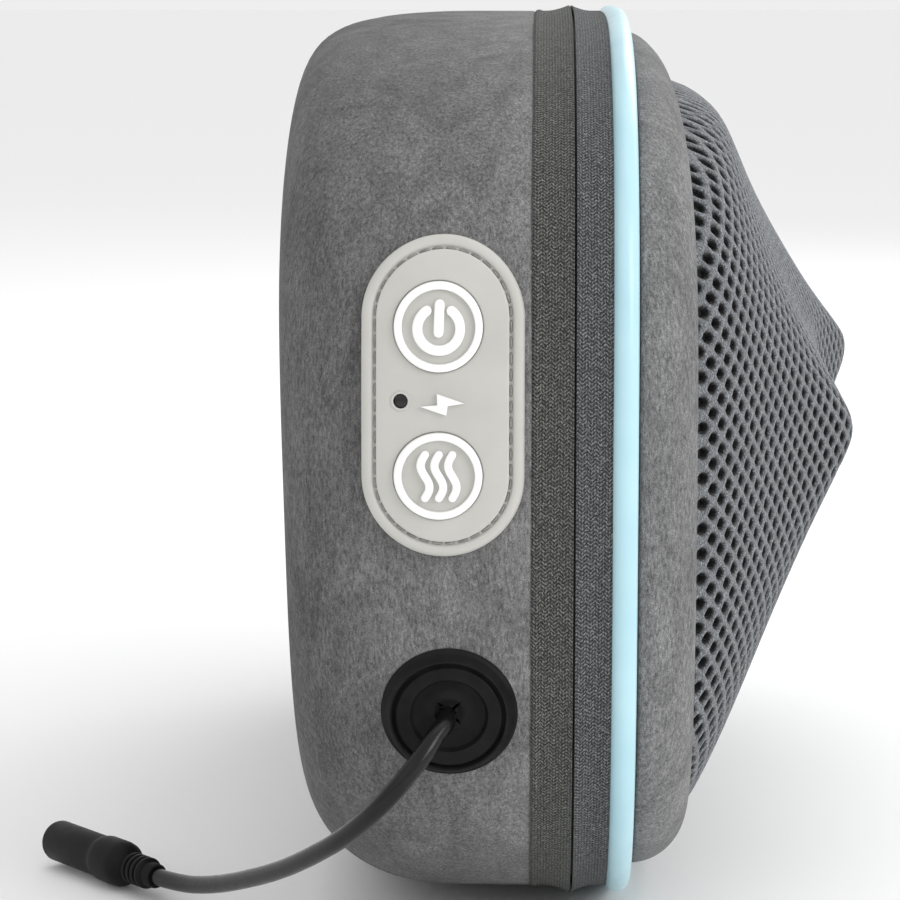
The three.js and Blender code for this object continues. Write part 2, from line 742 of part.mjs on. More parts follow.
function chassis() {
  const outline = new THREE.Shape(ANGLES.map((angle) => new THREE.Vector2(...casePoint(angle, WALL + 2))));
  outline.holes.push(stadium(-125, CENTRE_Z, 30, 80), stadium(125, CENTRE_Z, 30, 80));
  const plate = alongX(outline, CHASSIS_X, CHASSIS_X + PLATE, 6);
  const top = CHASSIS_X + PLATE - 0.5;
  const standoffs = posts.map(({ y, z }) => alongX(circle(4, y, z), top, COVER_X - GAP, 8));
  const bosses = SIDES.map(({ y }) => {
    return alongX(annulus(6, AXLE_RADIUS + GAP, y, ROTOR_Z), top, GEAR_X - GEAR_WIDTH / 2 - 1, 10);
  });
  return join(plate, ...standoffs, ...bosses, motorBracket(-1), motorBracket(1));
}

function gearboxCover() {
  const plate = rectangle(-COVER_HALF_Y, COVER_LOW, COVER_HALF_Y, COVER_HIGH);
  for (const { y } of SIDES) plate.holes.push(circle(5 + GAP, y, ROTOR_Z));
  plate.holes.push(rectangle(-MOTOR_HALF - 3, WORM_Z - 15, MOTOR_HALF + 3, WORM_Z + 15));
  return alongX(plate, COVER_X, COVER_X + PLATE, 8);
}

add('chassis_plate', chassis(), BLACK_PLASTIC);
add('gearbox_cover', gearboxCover(), GREY_PLASTIC);
posts.forEach(({ y, z }, i) => {
  const head = [[0, 0], [3.4, 0], [3.4, 1.4], [2.2, 2.2], [0, 2.2]];
  add(`cover_screw_${i + 1}`, turnedAlongX(head, y, z, 16).translate(COVER_X + PLATE + GAP, 0, 0), STEEL);
});

const CELL_RADIUS = 9.2;
const CELLS = [118, 137.4];
const TRAY = { y0: -68, y1: 4, x0: -44.5, x1: CHASSIS_X - GAP, z0: 107, z1: 149 };
const batteryTray = box(TRAY.x0, TRAY.x1, TRAY.y0, TRAY.y1, TRAY.z0, TRAY.z1);
const trayHollow = box(TRAY.x0 - 1, TRAY.x1 - 2, TRAY.y0 + 2, TRAY.y1 - 2, TRAY.z0 + 1.5, TRAY.z1 - 1.5);
add('battery_tray', cut(batteryTray, trayHollow), BLACK_PLASTIC);
CELLS.forEach((z, i) => {
  const cell = rod(CELL_RADIUS, TRAY.y0 + 2.6, TRAY.y1 - 2.6);
  add(`battery_cell_${i + 1}`, turnedAlongY(cell, TRAY.x1 - 2.4 - CELL_RADIUS, z + 0.3, 20), CELL_BLUE);
});
add('main_board', box(CHASSIS_X - 3.6, CHASSIS_X - 2, 20, 80, 100, 150), BOARD_GREEN);

// ---------------------------------------------------------------- motor and worms
const motorCan = rod(MOTOR_RADIUS, -MOTOR_HALF, MOTOR_HALF);
add('motor_can', turnedAlongY(motorCan, GEAR_X, WORM_Z, 28), STEEL);

// A screw thread round the Y axis, swept as one closed body; hand is 1 for right and -1 for left.
function wormThread(centreY, hand) {
  const perTurn = 10;
  const turns = 3;
  const steps = turns * perTurn;
  const rootHalf = TOOTH_HALF + (DEDENDUM + 0.4) * FLANK;
  const tipHalf = TOOTH_HALF - ADDENDUM * FLANK;
  const corners = [
    [WORM_RADIUS - DEDENDUM - 0.4, -rootHalf],
    [WORM_RADIUS + ADDENDUM, -tipHalf],
    [WORM_RADIUS + ADDENDUM, tipHalf],
    [WORM_RADIUS - DEDENDUM - 0.4, rootHalf],
  ];
  const positions = [];
  const index = [];
  for (let i = 0; i <= steps; i++) {
    const turn = i / perTurn - turns / 2;
    const angle = hand * 2 * Math.PI * (turn - 0.5);
    for (const [radius, along] of corners) {
      const y = centreY + PITCH * turn + along;
      positions.push(radius * Math.sin(angle), y, radius * Math.cos(angle));
    }
    if (i) bridge(index, 4 * (i - 1), 4 * i, 4);
  }
  index.push(1, 0, 2, 2, 0, 3);
  const end = 4 * steps;
  index.push(end, end + 1, end + 2, end, end + 2, end + 3);
  return closedBody(positions, index).translate(GEAR_X, 0, WORM_Z);
}

// One worm: its core, its thread and the spindle that joins it to the motor.
function worm({ y, hand }) {
  const core = rod(WORM_RADIUS - DEDENDUM, y - 13, y + 13);
  const spindle = y < 0 ? rod(2, y, -MOTOR_HALF - GAP) : rod(2, MOTOR_HALF + GAP, y);
  return join(
    turnedAlongY(core, GEAR_X, WORM_Z, 16),
    turnedAlongY(spindle, GEAR_X, WORM_Z, 12),
    wormThread(y, hand),
  );
}

SIDES.forEach((side) => add(`${side.side}_worm`, worm(side), BRASS));

// A worm wheel whose teeth lean with the worm's lead.
function wormWheel(y, hand) {
  const half = (offset) => TOOTH_HALF - offset * FLANK;
  const shape = new THREE.Shape();
  for (let tooth = 0; tooth < WORM_TEETH; tooth++) {
    const middle = -Math.PI / 2 + (2 * Math.PI * tooth) / WORM_TEETH;
    const corners = [
      [WHEEL_RADIUS - DEDENDUM, -half(-DEDENDUM)],
      [WHEEL_RADIUS + ADDENDUM, -half(ADDENDUM)],
      [WHEEL_RADIUS + ADDENDUM, half(ADDENDUM)],
      [WHEEL_RADIUS - DEDENDUM, half(-DEDENDUM)],
    ];
    corners.forEach(([radius, across], i) => {
      const angle = middle + across / WHEEL_RADIUS;
      const point = [radius * Math.cos(angle), radius * Math.sin(angle)];
      if (tooth + i) shape.lineTo(...point);
      else shape.moveTo(...point);
    });
  }
  shape.holes.push(circle(AXLE_RADIUS + GAP));
  const wheel = alongX(shape, -GEAR_WIDTH / 2, GEAR_WIDTH / 2, 10);
  const lead = (hand * PITCH) / (2 * Math.PI * WORM_RADIUS) / WHEEL_RADIUS;
  const position = wheel.attributes.position;
  const point = new THREE.Vector3();
  const axis = new THREE.Vector3(1, 0, 0);
  for (let i = 0; i < position.count; i++) {
    point.fromBufferAttribute(position, i);
    point.applyAxisAngle(axis, lead * point.x);
    position.setXYZ(i, point.x, point.y, point.z);
  }
  return wheel.translate(GEAR_X, y, ROTOR_Z);
}

function rotorPlate(y) {
  const arm = new THREE.Shape();
  const reach = HEAD_ORBIT;
  const radius = 9;
  arm.absarc(y, ROTOR_Z + reach, radius, 0, Math.PI);
  arm.absarc(y, ROTOR_Z - reach, radius, Math.PI, 2 * Math.PI);
  arm.closePath();
  const plate = alongX(arm, ROTOR_X, ROTOR_X + ROTOR_THICK, 12);
  const hub = alongX(circle(14, y, ROTOR_Z), ROTOR_X, ROTOR_X + ROTOR_THICK, 16);
  return cut(join(plate, hub), alongX(circle(AXLE_RADIUS + GAP, y, ROTOR_Z), 0, 30, 8));
}

const HEAD_PROFILE = [
  [0, 0],
  [8, 0],
  [9.5, 3],
  [11.4, 8],
  [12, 13],
  [11.4, 18.5],
  [9.4, 23],
  [6, 26.4],
  [2.4, 27.8],
  [0, 28],
];

for (const { side, y, hand } of SIDES) {
  const axle = rod(AXLE_RADIUS, CHASSIS_X + PLATE + 1, ROTOR_X + ROTOR_THICK + 1.5);
  add(`${side}_axle`, turnedAlongX(axle, y, ROTOR_Z, 16), STEEL);
  add(`${side}_worm_wheel`, wormWheel(y, hand), WHITE_PLASTIC);
  const bush = tube(AXLE_RADIUS + GAP, 5, COVER_X, COVER_X + PLATE);
  add(`${side}_bush`, turnedAlongX(bush, y, ROTOR_Z, 16), BRASS);
  add(`${side}_rotor_plate`, rotorPlate(y), WHITE_PLASTIC);
  ['upper', 'lower'].forEach((place, i) => {
    const z = ROTOR_Z + (i ? -HEAD_ORBIT : HEAD_ORBIT);
    const head = turnedAlongX(HEAD_PROFILE, y, z, 14).translate(ROTOR_X + ROTOR_THICK + GAP, 0, 0);
    add(`${side}_${place}_head`, head, BLACK_RUBBER);
  });
  const lamp = turnedAlongX(tube(7, 13, COVER_X + PLATE + GAP, COVER_X + PLATE + 1.4), y, ROTOR_Z, 20);
  add(`${side}_heat_board`, lamp, BOARD_GREEN);
}

export default massager;
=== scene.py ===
"""Shiatsu neck massager, standing on its long side with its control end to the camera."""
import math

import bmesh
import bpy
import numpy as np
from mathutils import Matrix, Vector, noise


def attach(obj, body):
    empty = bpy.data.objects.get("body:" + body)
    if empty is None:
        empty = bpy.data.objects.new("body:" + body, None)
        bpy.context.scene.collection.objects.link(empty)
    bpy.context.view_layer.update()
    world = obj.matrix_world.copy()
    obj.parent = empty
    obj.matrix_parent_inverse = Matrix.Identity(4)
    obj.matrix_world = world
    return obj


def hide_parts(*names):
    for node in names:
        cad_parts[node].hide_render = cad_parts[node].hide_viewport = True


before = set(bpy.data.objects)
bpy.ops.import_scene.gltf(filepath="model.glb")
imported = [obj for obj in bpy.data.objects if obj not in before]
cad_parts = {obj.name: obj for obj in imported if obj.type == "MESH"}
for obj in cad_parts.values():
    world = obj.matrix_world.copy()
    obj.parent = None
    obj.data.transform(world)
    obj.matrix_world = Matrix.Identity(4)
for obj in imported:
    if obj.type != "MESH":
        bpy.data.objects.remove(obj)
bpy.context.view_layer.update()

MM = 0.001

# ---------------- shared dimensions (mm)
HALF_LENGTH = 162
HALF_HEIGHT = 98
CORNER_POWER = 3.4
CENTRE_Z = 97
BACK_X = -65
BACK_ROUND_X = 34
BACK_ROUND_IN = 28
BACK_POWER = 2.35  # fuller than a round corner
BACK_LEAN = 2.6  # the soft back stands this much further out at the top than at mid height
BACK_FULLER = 2.6  # the rounding along the top is filled out by this much each way
TAPE_REAR_X = -13.8
ZIP_X = -5
TAPE_FRONT_X = 2.2
TAPE_RIDGE = 1.35  # the tapes rise by this much towards the closure
PIPING_X = 5
PIPING_RADIUS = 2.65
PIPING_PROUD = 1.5
RIM_X = 20
RIM_STEP = 4.5
RIM_INSET = 16
WALL = 3  # thickness of the case and the rim
RIM_LEAN = 5.5  # the soft rim lies this much further back at the very top
PEAKS = [(-52, 100.5, 39.6), (52, 108.5, 47.1)]  # (y, z, height) of the two peaks of the mesh
PAD = {"x": -31, "z": 121, "width": 32, "height": 63, "thick": 2.6}
KEY_X = -31.9
POWER_Z = 134.8
HEAT_Z = 105.8
KEY_RADIUS = 8.6
KEY_RING_WIDTH = 1.5
TOP = PAD["thick"]
MARK_LOW = TOP - 0.2  # marks are set a little into the face that they stand on
MARK_HIGH = TOP + 0.95
LED_X, LED_Z, LED_RADIUS = -39.2, 120.5, 1.4
GROMMET_X, GROMMET_Z = -30, 57
GROMMET_RADIUS = 13.8
CABLE_RADIUS = 1.95
JACK_LENGTH = 37.5
ROUND_STEPS = 384  # points round the case outline


# ---------------- camera and light
def add_object(name, data):
    made = bpy.data.objects.new(name, data)
    bpy.context.scene.collection.objects.link(made)
    return made


def look_from(place, azimuth, elevation, lens):
    """A camera at place (m) that looks along +Y, turned left by azimuth and down by elevation."""
    data = bpy.data.cameras.new("camera")
    data.lens = lens
    data.clip_end = 20
    camera = add_object("camera", data)
    camera.location = place
    camera.rotation_euler = (math.radians(90 - elevation), 0, math.radians(azimuth))
    bpy.context.scene.camera = camera


look_from((-0.0116, -0.8049, 0.2036), azimuth=1.62, elevation=8.22, lens=131.15)


def area_light(name, place, target, size, power):
    """A square light at place (m) that faces target, size m across, of so many watts."""
    data = bpy.data.lights.new(name, "AREA")
    data.shape = "SQUARE"
    data.size = size
    data.energy = power
    light = add_object(name, data)
    light.location = place
    light.rotation_euler = (Vector(target) - Vector(place)).to_track_quat("-Z", "Y").to_euler()


area_light("key_light", (1.15, -1.0, 0.75), (0, 0, 0.1), 0.7, 8.5)
area_light("fill_light", (-0.9, -1.3, 0.9), (0, 0, 0.1), 0.9, 0.8)
area_light("back_light", (0.6, 1.1, 0.9), (0, 0, 0.1), 0.8, 5)
area_light("top_light", (0.3, 0, 1.5), (0, 0, 0), 1.2, 3.4)


def studio_world():
    world = bpy.data.worlds.new("studio")
    bpy.context.scene.world = world
    world.use_nodes = True
    background = world.node_tree.nodes["Background"]
    background.inputs["Color"].default_value = (1, 1, 1, 1)
    background.inputs["Strength"].default_value = 0.86


studio_world()
bpy.context.scene.view_settings.view_transform = "Standard"


# ---------------- node materials
class Look:
    """A Principled material with short helpers for the nodes that shape its colour and bump."""

    def __init__(self, name, colour=(0.5, 0.5, 0.5), rough=0.5, metal=0.0, **sockets):
        self.material = bpy.data.materials.new(name)
        self.material.use_nodes = True
        self.tree = self.material.node_tree
        self.shader = self.tree.nodes["Principled BSDF"]
        self.shader.inputs["Base Color"].default_value = (*colour, 1)
        self.shader.inputs["Roughness"].default_value = rough
        self.shader.inputs["Metallic"].default_value = metal
        for socket, value in sockets.items():
            self.shader.inputs[socket.replace("_", " ")].default_value = value
        self.material.diffuse_color = (*colour, 1)

    def node(self, kind, **settings):
        made = self.tree.nodes.new(kind)
        for name, value in settings.items():
            setattr(made, name, value)
        return made

    def link(self, source, target):
        if isinstance(source, (int, float)):
            target.default_value = source
        elif isinstance(source, tuple):
            target.default_value = source if len(source) == len(target.default_value) else (*source, 1)
        else:
            self.tree.links.new(source, target)

    def place(self, scale=(1, 1, 1)):
        """The piece's own coordinates in metres, scaled along each axis."""
        mapping = self.node("ShaderNodeMapping")
        mapping.inputs["Scale"].default_value = scale
        self.link(self.node("ShaderNodeTexCoord").outputs["Object"], mapping.inputs["Vector"])
        return mapping.outputs["Vector"]

    def strip(self):
        """The piece's own map: U along it and V across it, both in metres."""
        return self.node("ShaderNodeUVMap", uv_map="strip").outputs["UV"]

    def noise(self, size_mm, detail=3, rough=0.55, vector=None, distort=0):
        made = self.node("ShaderNodeTexNoise")
        self.link(vector or self.place(), made.inputs["Vector"])
        made.inputs["Scale"].default_value = 1000 / size_mm
        made.inputs["Detail"].default_value = detail
        made.inputs["Roughness"].default_value = rough
        made.inputs["Distortion"].default_value = distort
        return made.outputs["Fac"]

    def cells(self, size_mm):
        made = self.node("ShaderNodeTexVoronoi")
        self.link(self.place(), made.inputs["Vector"])
        made.inputs["Scale"].default_value = 1000 / size_mm
        return made.outputs["Distance"]

    def ramp(self, value, *stops):
        made = self.node("ShaderNodeValToRGB")
        self.link(value, made.inputs["Fac"])
        elements = made.color_ramp.elements
        while len(elements) < len(stops):
            elements.new(0.5)
        for element, (at, colour) in zip(elements, stops):
            element.position = at
            grey = isinstance(colour, (int, float))
            element.color = (colour, colour, colour, 1) if grey else (*colour, 1)
        return made.outputs["Color"]

    def between(self, value, low, high):
        return self.ramp(value, (0.3, low), (0.7, high))

    def math(self, operation, a, b=0.0, c=0.0):
        made = self.node("ShaderNodeMath", operation=operation)
        for socket, value in zip(made.inputs, (a, b, c)):
            self.link(value, socket)
        return made.outputs["Value"]

    def split(self, vector):
        made = self.node("ShaderNodeSeparateXYZ")
        self.link(vector, made.inputs["Vector"])
        return made.outputs

    def mix(self, share, a, b, blend="MIX"):
        made = self.node("ShaderNodeMix", data_type="RGBA", blend_type=blend)
        self.link(share, made.inputs["Factor"])
        self.link(a, made.inputs[6])
        self.link(b, made.inputs[7])
        return made.outputs[2]

    def colour(self, source):
        self.link(source, self.shader.inputs["Base Color"])

    def rough(self, source):
        self.link(source, self.shader.inputs["Roughness"])

    def bump(self, *layers):
        """Layers of (height, depth in mm), the broadest first."""
        normal = None
        for height, depth in layers:
            made = self.node("ShaderNodeBump")
            made.inputs["Distance"].default_value = depth * MM
            made.inputs["Strength"].default_value = 1
            self.link(height, made.inputs["Height"])
            if normal is not None:
                self.link(normal, made.inputs["Normal"])
            normal = made.outputs["Normal"]
        self.link(normal, self.shader.inputs["Normal"])


def suede_look():
    """Brushed suede: broad patches where the nap lies another way, and short upright fibres."""
    look = Look("suede", rough=0.95, Sheen_Weight=0.08, Sheen_Roughness=0.4, Specular_IOR_Level=0.12)
    brushed = look.noise(44, 2, 0.5, look.place((1, 1, 0.8)), 0.5)
    swirls = look.noise(12, 3, 0.65, look.place((1.3, 1, 0.55)), 1.0)
    nap = look.noise(0.62, 3, 0.7, look.place((1, 1, 0.38)), 0.3)
    fine = look.noise(0.28, 2, 0.6)
    broad = look.between(brushed, 0.118, 0.172)
    soft = look.mix(0.5, broad, look.ramp(swirls, (0.3, 0.085), (0.72, 0.235)))
    colour = look.mix(1.0, soft, look.ramp(nap, (0.3, 0.55), (0.72, 1.5)), "MULTIPLY")
    colour = look.mix(1.0, colour, look.between(fine, 0.65, 1.4), "MULTIPLY")
    # painted shade and light: the suede is darkened towards the back and lightened towards the zip and the
    # front, as the light falls from the front
    forward = look.math("MULTIPLY_ADD", look.split(look.place())[0], 1 / (60 * MM), 1.1)
    painted_light_falloff = look.ramp(forward, (0.0, 0.74), (0.5, 0.95), (0.85, 1.16))
    look.colour(look.mix(1.0, colour, painted_light_falloff, "MULTIPLY"))
    look.bump((swirls, 0.25), (nap, 0.3), (fine, 0.1))
    return look.material


def tape_look(name, tint):
    """Knitted zipper tape: short light threads in slanting columns on a dark ground."""
    look = Look(name, rough=0.85, Sheen_Weight=0.08, Specular_IOR_Level=0.25)
    along, across = look.split(look.strip())[:2]
    rib = look.math("PINGPONG", across, 0.9 * MM)
    slant = look.math("ADD", along, look.math("MULTIPLY", rib, 0.9))
    thread = look.math("SINE", look.math("MULTIPLY", slant, 2 * math.pi / (0.8 * MM)))
    cross = look.math("SINE", look.math("MULTIPLY", across, 2 * math.pi / (0.6 * MM)))
    weave = look.math("MULTIPLY_ADD", thread, 0.5, 0.5)
    weave = look.math("MULTIPLY_ADD", cross, 0.25, weave)
    fleck = look.noise(0.36, 2, 0.8, distort=1.2)
    value = look.math("MULTIPLY_ADD", fleck, 0.85, look.math("MULTIPLY", weave, 0.13))
    tones = [tuple(c * k for c in tint) for k in (0.3, 0.85, 4.2)]
    look.colour(look.ramp(value, (0.38, tones[0]), (0.5, tones[1]), (0.64, tones[2])))
    look.bump((weave, 0.16), (fleck, 0.3))
    return look.material


def piping_look():
    look = Look("piping", (0.52, 0.79, 0.87), 0.34, Coat_Weight=0.2, Coat_Roughness=0.25,
                Subsurface_Weight=0.12, Subsurface_Radius=(0.004, 0.005, 0.006), Subsurface_Scale=0.6)
    tone = look.noise(18, 2)
    look.colour(look.between(tone, (0.41, 0.65, 0.73), (0.47, 0.71, 0.78)))
    look.rough(look.between(look.noise(2.5, 3), 0.3, 0.4))
    look.bump((look.noise(5, 2), 0.08))
    return look.material


def mesh_look():
    """Grey yarn with light specks; the holes' walls carry painted shade that gets darker with depth."""
    look = Look("spacer_mesh", rough=0.75, Sheen_Weight=0.25, Sheen_Roughness=0.4, Specular_IOR_Level=0.3)
    yarn = look.noise(0.45, 3, 0.75)
    strand = look.cells(0.6)
    tone = look.ramp(yarn, (0.34, (0.06, 0.065, 0.072)), (0.54, (0.15, 0.158, 0.171)),
                     (0.72, (0.46, 0.48, 0.51)))
    depth = look.node("ShaderNodeAttribute", attribute_name="depth").outputs["Fac"]
    # painted shade: the yarn's colour is darkened deeper into each hole
    painted_hole_shade = look.ramp(look.math("MULTIPLY", depth, 0.5), (0.05, 1.0), (0.2, 0.5), (0.36, 0.05), (1.0, 0.03))
    look.colour(look.mix(1.0, tone, painted_hole_shade, "MULTIPLY"))
    look.bump((strand, 0.2), (yarn, 0.2))
    return look.material


def lining_look():
    look = Look("lining", rough=0.9)
    weave = look.noise(0.6, 3, 0.6)
    look.colour(look.between(weave, 0.004, 0.014))
    look.bump((weave, 0.1))
    return look.material


def silicone_look():
    look = Look("pad_silicone", rough=0.5, Specular_IOR_Level=0.4,
                Subsurface_Weight=0.08, Subsurface_Radius=(0.003, 0.003, 0.002), Subsurface_Scale=0.5)
    tone = look.noise(12, 2)
    look.colour(look.between(tone, (0.49, 0.485, 0.455), (0.53, 0.525, 0.495)))
    grain = look.noise(0.3, 2)
    look.rough(look.between(look.noise(4, 3), 0.46, 0.56))
    look.bump((grain, 0.01))
    return look.material


def plain_look(name, dark, light, rough, grain_mm=0.5, depth=0.02, metal=0.0, spread=0.05, **sockets):
    """A surface with slight changes of tone, gloss and grain. A tone of one number is a grey."""
    dark, light = (3 * (tone,) if isinstance(tone, float) else tone for tone in (dark, light))
    look = Look(name, light, rough, metal, **sockets)
    tone = look.noise(grain_mm * 12, 3)
    look.colour(look.between(tone, dark, light))
    look.rough(look.between(look.noise(grain_mm * 6, 3), rough - spread, rough + spread))
    look.bump((look.noise(grain_mm, 2), depth))
    return look.material


SUEDE = suede_look()
TAPE_REAR = tape_look("zip_tape_rear", (0.066, 0.068, 0.063))
TAPE_FRONT = tape_look("zip_tape_front", (0.07, 0.073, 0.074))
PIPING = piping_look()
MESH = mesh_look()
LINING = lining_look()
SILICONE = silicone_look()
WHITE = plain_look("mark_white", (0.86, 0.86, 0.85), (0.9, 0.9, 0.89), 0.42, 0.4, 0.01)
RUBBER = plain_look("black_rubber", 0.006, 0.011, 0.5, 0.35, 0.03, Specular_IOR_Level=0.12)
JACKET = plain_look("cable_jacket", 0.004, 0.008, 0.25, 0.6, 0.01, Specular_IOR_Level=0.28)
BLACK = plain_look("black_plastic", 0.012, 0.02, 0.45)
GREY = plain_look("grey_plastic", (0.24, 0.25, 0.26), (0.28, 0.29, 0.3), 0.5)
ACETAL = plain_look("white_plastic", (0.68, 0.68, 0.65), (0.74, 0.74, 0.71), 0.38)
STEEL = plain_look("steel", (0.5, 0.51, 0.52), (0.62, 0.63, 0.64), 0.3, 0.25, 0.01, 1.0)
ZINC = plain_look("zip_metal", (0.06, 0.06, 0.065), (0.09, 0.09, 0.095), 0.35, 0.3, 0.01, 0.9)
BRASS = plain_look("brass", (0.58, 0.40, 0.14), (0.66, 0.47, 0.18), 0.28, 0.25, 0.01, 1.0)
BOARD = plain_look("circuit_board", (0.01, 0.07, 0.03), (0.015, 0.1, 0.045), 0.4)
WRAP = plain_look("cell_wrap", (0.02, 0.09, 0.32), (0.03, 0.12, 0.4), 0.3)
FOAM = plain_look("foam", (0.62, 0.6, 0.53), (0.74, 0.72, 0.65), 0.95, 0.9, 0.4)
HEAD = plain_look("head_rubber", (0.02, 0.02, 0.022), (0.035, 0.035, 0.038), 0.55, 0.5, 0.04)
THREAD = plain_look("thread", (0.2, 0.2, 0.19), (0.36, 0.36, 0.34), 0.7, 0.2, 0.08)
WINDOW = plain_look("led_window", 0.004, 0.006, 0.12)

NODE_LOOKS = {
    BLACK: ["chassis_plate", "battery_tray", "power_switch", "heat_switch", "zipper_coil"],
    GREY: ["gearbox_cover"],
    ACETAL: ["left_worm_wheel", "right_worm_wheel", "left_rotor_plate", "right_rotor_plate"],
    HEAD: [f"{s}_{p}_head" for s in ("left", "right") for p in ("upper", "lower")],
    STEEL: ["motor_can", "left_axle", "right_axle", "dc_jack_pin"]
    + [f"cover_screw_{i}" for i in range(1, 5)],
    BRASS: ["left_worm", "right_worm", "left_bush", "right_bush"],
    BOARD: ["key_board", "main_board", "left_heat_board", "right_heat_board"],
    WRAP: ["battery_cell_1", "battery_cell_2"],
    FOAM: ["back_foam"],
    WINDOW: ["led_lens"],
}
for material, names in NODE_LOOKS.items():
    for name in names:
        for slot in bpy.data.objects[name].material_slots:
            slot.material = material


# ---------------- mesh helpers
def new_piece(name, points, faces, material, body="case", uvs=None):
    """A mesh object from points in millimetres, and the map that a knitted material follows."""
    mesh = bpy.data.meshes.new(name)
    mesh.from_pydata([tuple(p) for p in np.asarray(points) * MM], [], faces)
    mesh.materials.append(material)
    if uvs is not None:
        layer = mesh.uv_layers.new(name="strip")
        corner = np.empty(len(mesh.loops), dtype=int)
        mesh.loops.foreach_get("vertex_index", corner)
        layer.data.foreach_set("uv", (np.asarray(uvs)[corner] * MM).ravel())
    mesh.validate()
    piece = add_object(name, mesh)
    face_out(mesh)
    mesh.shade_smooth()
    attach(piece, body)
    return piece


def face_out(mesh):
    work = bmesh.new()
    work.from_mesh(mesh)
    bmesh.ops.recalc_face_normals(work, faces=work.faces)
    if work.calc_volume(signed=True) < 0:
        bmesh.ops.reverse_faces(work, faces=work.faces)
    work.to_mesh(mesh)
    work.free()


def row_faces(a, b, count, closed=True):
    """Four-sided faces between two rows of count points that start at a and b."""
    steps = [(k, (k + 1) % count) for k in range(count if closed else count - 1)]
    return [(a + k, a + n, b + n, b + k) for k, n in steps]


def grid_faces(rows, columns, wrap_rows=False, wrap_columns=False, first=0):
    """Faces between rows of points, which may close up on themselves either way."""
    faces = []
    for i in range(rows if wrap_rows else rows - 1):
        faces += row_faces(first + i * columns, first + (i + 1) % rows * columns, columns, wrap_columns)
    return faces


def tube_faces(rows, columns, first=0):
    """Faces between closed rows of points, with a flat face over each end."""
    ends = [tuple(at + k for k in range(columns)) for at in (first, first + (rows - 1) * columns)]
    return grid_faces(rows, columns, False, True, first) + ends


def round_turns(count):
    """The cosine and sine of even turns round a circle."""
    turns = [2 * math.pi * k / count for k in range(count)]
    return [(math.cos(turn), math.sin(turn)) for turn in turns]


def facing(point, ahead):
    """A frame at the point whose Y axis runs ahead."""
    return Matrix.Translation(point) @ ahead.to_track_quat("Y", "Z").to_matrix().to_4x4()


def baked(piece):
    """A new mesh of the piece as its settings and modifiers shape it."""
    return bpy.data.meshes.new_from_object(piece.evaluated_get(bpy.context.evaluated_depsgraph_get()))


def smooth_by_angle(piece, degrees=35):
    piece.data.set_sharp_from_angle(angle=math.radians(degrees))


# ---------------- case surfaces
def outline_point(angle, inset):
    """A point (y, z) of the case's outline, drawn in by inset and flat where it stands."""
    power = 2 / CORNER_POWER
    cos, sin = math.cos(angle), math.sin(angle)
    y = (HALF_LENGTH - inset) * math.copysign(abs(cos) ** power, cos)
    z = CENTRE_Z + (HALF_HEIGHT - inset) * math.copysign(abs(sin) ** power, sin)
    return y, max(z, inset, 0)


def even_angles(count):
    """Angles that space points evenly along the outline, and the outline's length."""
    fine = 20000
    turn = np.linspace(0, 2 * math.pi, fine + 1)
    points = np.array([outline_point(a, 0) for a in turn])
    run = np.concatenate([[0], np.cumsum(np.linalg.norm(np.diff(points, axis=0), axis=1))])
    wanted = np.arange(count) * run[-1] / count
    return np.interp(wanted, run, turn), run[-1]


ANGLES, OUTLINE_LENGTH = even_angles(ROUND_STEPS)


def end_face_y(z):
    """Where the end face stands at height z."""
    rise = (abs(z - CENTRE_Z) / HALF_HEIGHT) ** CORNER_POWER
    return -HALF_LENGTH * (1 - rise) ** (1 / CORNER_POWER)


def swept(profile, wobble=None):
    """Points of a profile of (x, inset) swept round the outline, one row for each of its corners.

    A wobble of (size, depth) makes the surface a little uneven, except where it stands.
    """
    points = np.array([(x, *outline_point(angle, inset)) for x, inset in profile for angle in ANGLES])
    if wobble:
        size, depth = wobble
        for i, p in enumerate(points):
            push = noise.noise(Vector(p) / size) * depth
            outward = Vector((0, p[1] / HALF_LENGTH, (p[2] - CENTRE_Z) / HALF_HEIGHT))
            if p[2] > 3:
                points[i] = p + np.array(outward) * push
    return points


def ring_piece(name, profile, material, wobble=None):
    """A closed profile swept once round the case."""
    points = swept(profile, wobble)
    rows = len(profile)
    faces = grid_faces(rows, ROUND_STEPS, True, True)
    along = np.tile(np.arange(ROUND_STEPS) * OUTLINE_LENGTH / ROUND_STEPS, rows)
    run = np.array([x for x, _ in profile])
    return new_piece(name, points, faces, material, uvs=np.c_[along, np.repeat(run, ROUND_STEPS)])


def arc_profile(centre, radii, start, end, steps):
    """Points (x, inset) on an ellipse's arc; 0 degrees is +X and 90 degrees is outwards."""
    made = []
    for turn in np.radians(np.linspace(start, end, steps + 1)):
        made.append((centre[0] + radii[0] * math.cos(turn), centre[1] - radii[1] * math.sin(turn)))
    return made


# ---------------- rear case
def back_arc(offset, turns):
    """Points (x, inset) of the back's rounding, offset inwards, at turns from the back to the side."""
    power = 2 / BACK_POWER
    made = []
    for turn in np.radians(turns):
        x = BACK_X + BACK_ROUND_X - (BACK_ROUND_X - offset) * math.cos(turn) ** power
        made.append((x, BACK_ROUND_IN - (BACK_ROUND_IN - offset) * math.sin(turn) ** power))
    return made


def lean_back(points):
    """Stretches the rounded back part away from the zip, more towards the top, and fills its top edge."""
    front = BACK_X + BACK_ROUND_X
    share = np.clip((front - points[:, 0]) / BACK_ROUND_X, 0, 1)
    rise = np.clip((points[:, 2] - CENTRE_Z) / HALF_HEIGHT, -1, 1)
    upper = np.clip((rise - 0.4) / 0.5, 0, 1)
    fuller = BACK_FULLER * np.sin(math.pi * share ** 2.4) * upper * upper * (3 - 2 * upper)
    points[:, 0] -= BACK_LEAN * share * rise + fuller
    points[:, 2] += fuller
    return points


